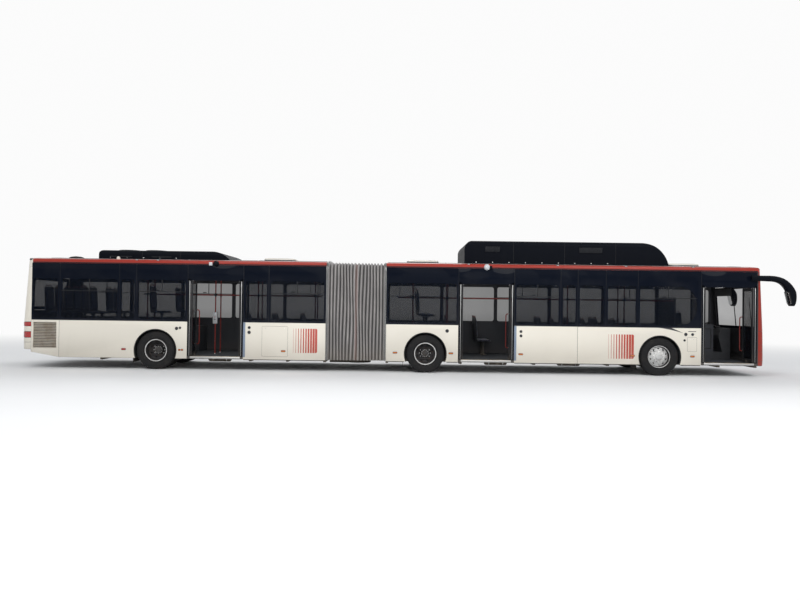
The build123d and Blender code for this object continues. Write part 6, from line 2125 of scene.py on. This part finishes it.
# Grab rails: height of the long ones, places of the poles along
RAIL_HIGH = 1.90
RAIL_POLES = {
    "front": (
        MIDDLE_AXLE_X - 0.30, DOOR_X[1] - 0.90, DOOR_X[1] + 0.90, MIDDLE_AXLE_X + 3.811, MIDDLE_AXLE_X + 5.321
    ),
    "rear": (REAR_AXLE_X - 0.60, TICKET_X, DOOR_X[2] + 0.85, REAR_CAR_X1 - 0.40),
}


def build_rail_fittings():
    """Clamps, flanges, end caps, hangers and stop buttons of the grab rails, and the ticket box's face."""
    sleeve = ((0.0162, -0.045), (0.0205, -0.045), (0.0215, 0.0), (0.0205, 0.045), (0.0162, 0.045))
    flange = ((0.0162, 0.0005), (0.050, 0.0005), (0.048, 0.008), (0.022, 0.014), (0.0162, 0.014))
    for car, ends in (
        ("front", (FRONT_CAR_X0 + 0.3, NOSE_X0 - 1.7)), ("rear", (REAR_AXLE_X - 0.7, REAR_CAR_X1 - 0.3))
    ):
        fit = Piece(f"{car}_rail_fittings", "plastic", "chrome", "ticket", "lamp_red", "lamp_clear")
        for y in (-RAIL_Y, RAIL_Y):
            top = roof_z(y) - 0.076
            for number, x in enumerate(RAIL_POLES[car]):
                for axis in ("z", "x"):
                    fit.lathe(sleeve, (x, y, RAIL_HIGH), axis, 1, 20)
                fit.lathe(flange, (x, y, FLOOR_Z), "z", 1, 24, 1)
                fit.lathe(flange, (x, y, top), "z", -1, 24, 1)
                if number % 2 == 0:
                    fit.box((x - 0.026, y - 0.026, 1.30), (x + 0.026, y + 0.026, 1.40), 0.010)
                    for way in (-1, 1):
                        fit.lathe(
                            round_head(0.016, 0.024, 0.030, 0.010, 0.033), (x, y, 1.355), "y", way, 20, 3
                        )
            for x, way in zip(ends, (-1, 1)):
                fit.lathe(round_head(0.019, -0.004, 0.004, 0.012, 0.010), (x, y, RAIL_HIGH), "x", way, 18)
                tubes(fit, [[(x - way * 0.04, y, RAIL_HIGH), (x - way * 0.04, y, top)]], 0.010, 0.0, 8, 1)
        if car == "rear":
            x = TICKET_X
            fit.box((x - 0.062, -0.300, 1.135), (x + 0.062, -0.222, 1.445), 0.016, 2)
            fit.box((x - 0.040, -0.304, 1.345), (x + 0.040, -0.298, 1.415), 0.003, 4)
            fit.box((x - 0.028, -0.303, 1.245), (x + 0.028, -0.298, 1.262), 0.002)
            fit.lathe(washer(0, 0.012, 0.0, 0.004), (x, -0.300, 1.31), "y", -1, 16, 3)
        fit.make(f"{car}_car", "rail_red")


def build_cab():
    """Steering wheel, instrument hood, gauges and switches of the driver's place."""
    cab = Piece("driver_place_fittings", "plastic", "rubber", "lamp_clear", "chrome", "lamp_red", "cab")
    y = DRIVER_Y
    turn = Matrix.Rotation(radians(-35), 4, "Y")
    wheel = Piece("wheel")
    grip = [(0.225 + 0.0158 * cos(a), 0.0158 * sin(a)) for a in np.linspace(0, 2 * pi, 13)[:-1]]
    wheel.lathe(grip, (0, 0, 0), "z", 1, 56, 1)
    wheel.box((-0.215, -0.019, -0.0085), (0.215, 0.019, 0.0085), 0.007)
    wheel.lathe(
        ((0, -0.022), (0.056, -0.022), (0.064, -0.008), (0.062, 0.014), (0.048, 0.0235), (0, 0.0245)),
        (0, 0, 0), "z", 1, 32,
    )
    cab.join(wheel.moved(Matrix.Translation((NOSE_X0 - 0.50, y, 1.19)) @ turn))
    hood = (
        (-0.10, 1.180), (-0.13, 1.235), (-0.23, 1.252), (-0.262, 1.240), (-0.260, 1.228), (-0.205, 1.215),
        (-0.195, 1.180),
    )
    loops = []
    for across, scale in ((-0.25, 0.2), (-0.22, 0.9), (-0.10, 1.0), (0.10, 1.0), (0.22, 0.9), (0.25, 0.2)):
        loops.append([(NOSE_X0 + dx, y + across, 1.180 + (z - 1.180) * scale) for dx, z in hood])
    cab.loft(loops)
    panel = Piece("panel")
    panel.box((-0.042, -0.20, -0.004), (0.042, 0.20, 0.004), 0.003)
    for across in (-0.12, 0.12):
        panel.lathe(
            ((0, 0.003), (0.036, 0.003), (0.036, 0.008), (0.032, 0.009), (0.030, 0.006), (0, 0.006)),
            (0, across, 0), "z", 1, 28, 3,
        )
        panel.lathe(
            ((0, 0.0055), (0.029, 0.0055), (0.029, 0.0068), (0, 0.0072)), (0, across, 0), "z", 1, 24, 2
        )
    panel.box((-0.026, -0.060, 0.003), (0.030, 0.060, 0.0065), 0.002, 2)
    cab.join(panel.moved(Matrix.Translation((NOSE_X0 - 0.235, y, 1.1585)) @ turn))
    key = Piece("key").box(
        (NOSE_X0 - 0.289, 0.18, 1.085), (NOSE_X0 - 0.282, 0.200, 1.103), 0.002,
        turn=Matrix.Rotation(radians(22), 4, "Y"),
    )
    copies(cab, key, "row", 7, (0, 0.026, 0), material=0)
    for pedal_y in (0.52, 0.74):
        cab.box(
            (NOSE_X0 - 0.325, pedal_y - 0.045, 0.60), (NOSE_X0 - 0.300, pedal_y + 0.045, 0.80), 0.006, 1, turn
        )
    for x0, x1, z0, z1 in ((-1.46, -1.02, 0.62, 1.18), (-0.98, -0.55, 0.62, 1.18)):
        outer = rounded(NOSE_X0 + x0, NOSE_X0 + x1, z0, z1, 0.03)
        cab.slab(outer, on_side(1), 0.021, 0.014, 0.003, [inset(outer, 0.03)[::-1]])
    x0, z0 = NOSE.at(0.6, 2.28)[0] - 0.075, 2.27
    x1, z1 = NOSE.at(0.6, 2.06)[0] - 0.085, 2.06
    cab.loft([[(x0, a, z0), (x0 + 0.005, a, z0), (x1 + 0.005, a, z1), (x1, a, z1)] for a in (0.12, 1.02)])
    cab.make("front_car", "cab_plastic")


def build_linings():
    """Ceiling coves with lamp strips along both cars, and yellow edges on the rear deck."""
    for car, x0, x1 in (
        ("front", FRONT_CAR_X0 + 0.03, NOSE_X0 - 1.58), ("rear", TAIL_X1 + 0.10, REAR_CAR_X1 - 0.03)
    ):
        lining = Piece(f"{car}_ceiling_linings", "ceiling", "light", "yellow", "plastic")
        for side in (-1, 1):
            cove = (
                (1.186, 2.37), (1.186, 2.655), (0.74, 2.716), (0.70, 2.708), (0.80, 2.652), (1.00, 2.520),
                (1.12, 2.372),
            )
            strip = ((0.845, 2.626), (0.955, 2.554), (0.948, 2.540), (0.836, 2.612))
            lining.loft([[(x, side * a, z) for a, z in cove] for x in (x0, x1)])
            length = (x1 - x0) / max(1, int((x1 - x0) / 1.3))
            for number in range(int((x1 - x0) / length + 0.5)):
                start = x0 + number * length + 0.05
                lining.loft([[(x, side * a, z) for a, z in strip] for x in (start, start + length - 0.10)], 1)
        if car == "rear":
            edge_x = REAR_AXLE_X - 0.90
            lining.box(
                (edge_x - 0.045, -0.46, DECK_Z - 0.002), (edge_x + 0.003, 0.46, DECK_Z + 0.003), 0.001, 2
            )
            lining.box(
                (edge_x - 0.002, -0.46, DECK_Z - 0.030), (edge_x + 0.004, 0.46, DECK_Z + 0.002), 0.001, 2
            )
        lining.make(f"{car}_car", "cab_plastic")


# Air tanks below the floors: outline along them, place across, height
TANK = (
    (0, 0.0), (0.035, 0.006), (0.056, 0.028), (0.060, 0.050), (0.060, 0.55), (0.056, 0.572), (0.035, 0.594),
    (0, 0.60)
)
TANK_Y, TANK_Z = 0.60, 0.226


def build_underside():
    """Mud flaps, air springs, air tanks, pipes and dampers below the floors."""
    for car, ends in (
        ("front", (FRONT_CAR_X0 + 0.1, NOSE_X0 - 0.1)), ("rear", (REAR_AXLE_X - 1.3, REAR_CAR_X1 - 0.1))
    ):
        axles = CAR_AXLES[car]
        under = Piece(f"{car}_underside_fittings", "rubber", "steel", "alloy_dark", "chrome")
        for axle in axles:
            for side in (-1, 1):
                inner, outer = sorted((side * 0.80, side * 1.20))
                under.box((axle - 0.572, inner, 0.170), (axle - 0.564, outer, 0.292), 0.003)
                under.box((axle - 0.580, inner, 0.268), (axle - 0.560, outer, 0.290), 0.003, 1)
                if axle != FRONT_AXLE_X:
                    spring = [(0, 0.566), (0.050, 0.566), (0.052, 0.580)]
                    for number in range(3):
                        z = 0.590 + 0.040 * number
                        spring += [(0.060, z), (0.070, z + 0.010), (0.070, z + 0.022), (0.060, z + 0.034)]
                    spring += [(0.056, 0.712), (0, 0.712)]
                    under.lathe(spring, (axle, side * 0.562, 0), "z", 1, 28)
                    under.box(
                        (axle - 0.07, side * 0.481, 0.711), (axle + 0.07, side * 0.630, 0.726), 0.003, 1
                    )
                damper = [(axle + 0.055, side * 0.46, 0.18), (axle + 0.30, side * 0.46, 0.285)]
                tubes(under, [damper], 0.026, 0.0, 14, 1)
                tubes(under, [[damper[0], [(a + b) / 2 for a, b in zip(*damper)]]], 0.031, 0.0, 14, 2)
        step = 1.9
        for number in range(int((ends[1] - ends[0]) / step)):
            x = ends[0] + 0.55 + number * step
            if any(abs(x + 0.3 - axle) < 1.0 for axle in axles):
                continue
            for y in (-TANK_Y, TANK_Y):
                under.lathe(TANK, (x, y, TANK_Z), "x", 1, 24, 1)
                for strap in (x + 0.12, x + 0.48):
                    under.lathe(washer(0.0595, 0.0625, -0.012, 0.012), (strap, y, TANK_Z), "x", 1, 24, 3)
                    under.box((strap - 0.012, y - 0.008, 0.284), (strap + 0.012, y + 0.008, 0.292), 0.002, 3)
        for y, z, radius in ((0.310, 0.262, 0.009), (0.285, 0.266, 0.007), (-0.310, 0.262, 0.012)):
            tubes(under, [[(ends[0], y, z), (ends[1], y, z)]], radius, 0.0, 8, 2)
        if car == "rear":
            low_e, high_e = low("engine"), high("engine")
            for y, z, radius in ((0.10, 0.62, 0.11), (0.34, 0.74, 0.07), (-0.12, 0.80, 0.055)):
                pulley = (
                    (0, 0.001), (radius, 0.001), (radius, 0.010), (radius - 0.008, 0.014),
                    (radius - 0.008, 0.022), (radius, 0.026), (radius, 0.034), (0, 0.034),
                )
                under.lathe(pulley, (low_e.x, y, z), "x", -1, 36, 2)
            for side_y, way in ((low_e.y, -1), (high_e.y, 1)):
                rib = Piece("rib").box(
                    (low_e.x + 0.06, side_y, 0.48), (low_e.x + 0.10, side_y + way * 0.016, 0.90), 0.006
                )
                copies(
                    under, rib, "row", max(2, int((high_e.x - low_e.x - 0.14) / 0.11)), (0.11, 0, 0),
                    material=1,
                )
        under.make(f"{car}_car", "frame_steel")


# Finish of the CAD nodes that stay in sight
NODE_LOOKS = {
    "wall": ("front_side_left", "front_side_right", "rear_side_left", "rear_side_right"),
    "roof_skin": ("front_roof", "rear_roof"),
    "plastic": ("nose",),
    "cover": ("tank_cover", "roof_cooler"),
    "floor": ("front_floor", "rear_floor"),
    "steel": (
        "front_underframe", "rear_underframe", "turntable_front", "turntable_rear", "front_car_axles",
        "rear_axle", "knuckle_left", "knuckle_right",
    ),
    "engine": ("engine",),
    "cab": ("driver_cab",),
    "rail": ("front_grab_rails", "rear_grab_rails"),
}


def dress_nodes():
    """Gives every CAD node that shows its finish."""
    for key, nodes in NODE_LOOKS.items():
        for node in nodes:
            data = frame["nodes"][node].data
            data.materials.clear()
            data.materials.append(MATERIALS[key])


# Stage
CAMERA = (-0.151, -17.25, 1.68)
CAMERA_PITCH = 0.50
CAMERA_ROLL = 0.75
LENS = 28.72
# Place, size, power, aim
LAMPS = (
    ((-6.0, -13.0, 12.0), 9.0, 930, (0.0, 0.0, 1.4)), ((9.0, -11.0, 9.0), 7.0, 560, (3.0, 0.0, 1.4)),
    ((0.0, 10.0, 14.0), 12.0, 1050, (0.0, 0.0, 1.6)), ((0.0, -16.0, 4.0), 10.0, 230, (0.0, 0.0, 1.2)),
)


def build_stage():
    """Pale floor, soft lamps, white surroundings and the camera."""
    scene = bpy.context.scene
    data = bpy.data.meshes.new("studio_floor")
    size = 60.0
    data.from_pydata(
        [(-size, -size, 0), (size, -size, 0), (size, size, 0), (-size, size, 0)], [], [(0, 1, 2, 3)]
    )
    floor = bpy.data.objects.new("studio_floor", data)
    g = Graph("studio_floor_paint")
    tone = g.noise_at(0.4, 3.0)
    paint_mix = g.mix(tone, (0.84, 0.84, 0.835), (0.88, 0.88, 0.875))
    near = g.node("ShaderNodeBsdfPrincipled", {}, Base_Color=paint_mix, Roughness=0.8)
    pale = g.node("ShaderNodeEmission", {}, (0.97, 0.97, 0.97, 1.0), 1.0)
    away = (g.x * g.x * 0.35 + g.y * g.y) ** 0.5
    path = g.raw("ShaderNodeLightPath", {})
    seen = Value(g, path.outputs["Is Camera Ray"]) * away.ramp(6.0, 20.0)
    g.raw("ShaderNodeOutputMaterial", {}, g.node("ShaderNodeMixShader", {}, seen, near, pale))
    data.materials.append(g.material)
    scene.collection.objects.link(floor)
    for place, size, power, aim in LAMPS:
        light = bpy.data.lights.new("soft_lamp", "AREA")
        light.shape, light.size, light.energy = "DISK", size, power
        lamp_object = bpy.data.objects.new("soft_lamp", light)
        turn = (Vector(place) - Vector(aim)).to_track_quat("Z", "Y")
        lamp_object.matrix_world = Matrix.Translation(place) @ turn.to_matrix().to_4x4()
        scene.collection.objects.link(lamp_object)
    world = bpy.data.worlds.new("studio")
    n = Nodes(world)
    path = n.raw("ShaderNodeLightPath", {})
    rays = [Value(n, path.outputs[f"Is {kind} Ray"]) for kind in ("Camera", "Transmission", "Glossy")]
    plain = n.node("ShaderNodeBackground", {}, (0.92, 0.95, 1.0, 1.0), 0.55)
    white = n.node("ShaderNodeBackground", {}, (0.97, 0.97, 0.97, 1.0), 1.0)
    seen = rays[0].most(rays[1]).most(rays[2])
    n.raw("ShaderNodeOutputWorld", {}, n.node("ShaderNodeMixShader", {}, seen, plain, white))
    scene.world = world
    scene.view_settings.view_transform = "Standard"
    camera = bpy.data.cameras.new("camera")
    camera.lens, camera.sensor_width, camera.clip_end = LENS, 36.0, 200.0
    made = bpy.data.objects.new("camera", camera)
    upright = Matrix.Rotation(radians(90 + CAMERA_PITCH), 4, "X")
    made.matrix_world = Matrix.Translation(CAMERA) @ upright @ Matrix.Rotation(radians(CAMERA_ROLL), 4, "Z")
    scene.collection.objects.link(made)
    scene.camera = made


# Operators, in the order they run
class BusOperator(bpy.types.Operator):
    """Builds its pieces in order."""

    bl_options = {"REGISTER"}
    steps = ()

    def execute(self, context):
        for step in self.steps:
            step()
        return {"FINISHED"}


class BUS_OT_stage(BusOperator):
    """Camera, floor, lamps, surroundings, materials and node trees"""

    bl_idname, bl_label = "bus.stage", "Stage and materials"
    steps = (build_stage, make_materials, make_growths)


class BUS_OT_nodes(BusOperator):
    """Finish of the CAD nodes that stay in sight"""

    bl_idname, bl_label = "bus.nodes", "CAD node finishes"
    steps = (dress_nodes,)


class BUS_OT_sides(BusOperator):
    """Lower side panels, vent slats, doorway trims and roof edges"""

    bl_idname, bl_label = "bus.sides", "Side panels"
    steps = (build_skins, build_louvre, build_doorways, build_roof_edges)


class BUS_OT_glass(BusOperator):
    """Side panes and the rear window"""

    bl_idname, bl_label = "bus.glass", "Panes"
    steps = (build_panes,)


class BUS_OT_nose(BusOperator):
    """Front mask, headlamps, windscreen, wipers and mirrors"""

    bl_idname, bl_label = "bus.nose", "Nose"
    steps = (build_nose, build_wipers, build_mirrors)


class BUS_OT_tail(BusOperator):
    """Rear panels and lamps"""

    bl_idname, bl_label = "bus.tail", "Tail"
    steps = (build_tail,)


class BUS_OT_roofs(BusOperator):
    """Roof seams, hatches and the fittings of both roof covers"""

    bl_idname, bl_label = "bus.roofs", "Roofs"
    steps = (build_roofs, build_roof_units)


class BUS_OT_doors(BusOperator):
    """Door leaves and their turning posts"""

    bl_idname, bl_label = "bus.doors", "Doors"
    steps = (build_doors,)


class BUS_OT_bellows(BusOperator):
    """Pleated cloth between the cars"""

    bl_idname, bl_label = "bus.bellows", "Bellows"
    steps = (build_bellows,)


class BUS_OT_wheels(BusOperator):
    """Tyres and rims"""

    bl_idname, bl_label = "bus.wheels", "Wheels"
    steps = (build_tyres, build_rims)


class BUS_OT_seats(BusOperator):
    """Seat shells with their padded cushions and backs"""

    bl_idname, bl_label = "bus.seats", "Seats"
    steps = (build_seats,)


class BUS_OT_cabin(BusOperator):
    """Rail fittings, driver's place and ceiling linings"""

    bl_idname, bl_label = "bus.cabin", "Cabin"
    steps = (build_rail_fittings, build_cab, build_linings)


class BUS_OT_underside(BusOperator):
    """Mud flaps, springs, tanks, pipes and engine fittings"""

    bl_idname, bl_label = "bus.underside", "Underside"
    steps = (build_underside,)


OPERATORS = (
    BUS_OT_stage, BUS_OT_nodes, BUS_OT_sides, BUS_OT_glass, BUS_OT_nose, BUS_OT_tail, BUS_OT_roofs,
    BUS_OT_doors, BUS_OT_bellows, BUS_OT_wheels, BUS_OT_seats, BUS_OT_cabin, BUS_OT_underside,
)


class BUS_PT_panel(bpy.types.Panel):
    """Lists the sizes, colours and operators of the bus"""

    bl_idname, bl_label = "BUS_PT_panel", "Articulated bus"
    bl_space_type, bl_region_type, bl_category = "VIEW_3D", "UI", "Bus"

    def draw(self, context):
        for group in (context.scene.bus_sizes, context.scene.bus_colours):
            for key in group.__annotations__:
                self.layout.prop(group, key)
        for operator in OPERATORS:
            self.layout.operator(operator.bl_idname)


CLASSES = (BusSizes, BusColours, *OPERATORS, BUS_PT_panel)


def register():
    for kind in CLASSES:
        bpy.utils.register_class(kind)
    bpy.types.Scene.bus_sizes = bpy.props.PointerProperty(type=BusSizes)
    bpy.types.Scene.bus_colours = bpy.props.PointerProperty(type=BusColours)


def unregister():
    del bpy.types.Scene.bus_colours
    del bpy.types.Scene.bus_sizes
    for kind in reversed(CLASSES):
        bpy.utils.unregister_class(kind)


def main():
    register()
    for operator in OPERATORS:
        getattr(bpy.ops.bus, operator.bl_idname.split(".")[1])()


if __name__ == "__main__":
    main()
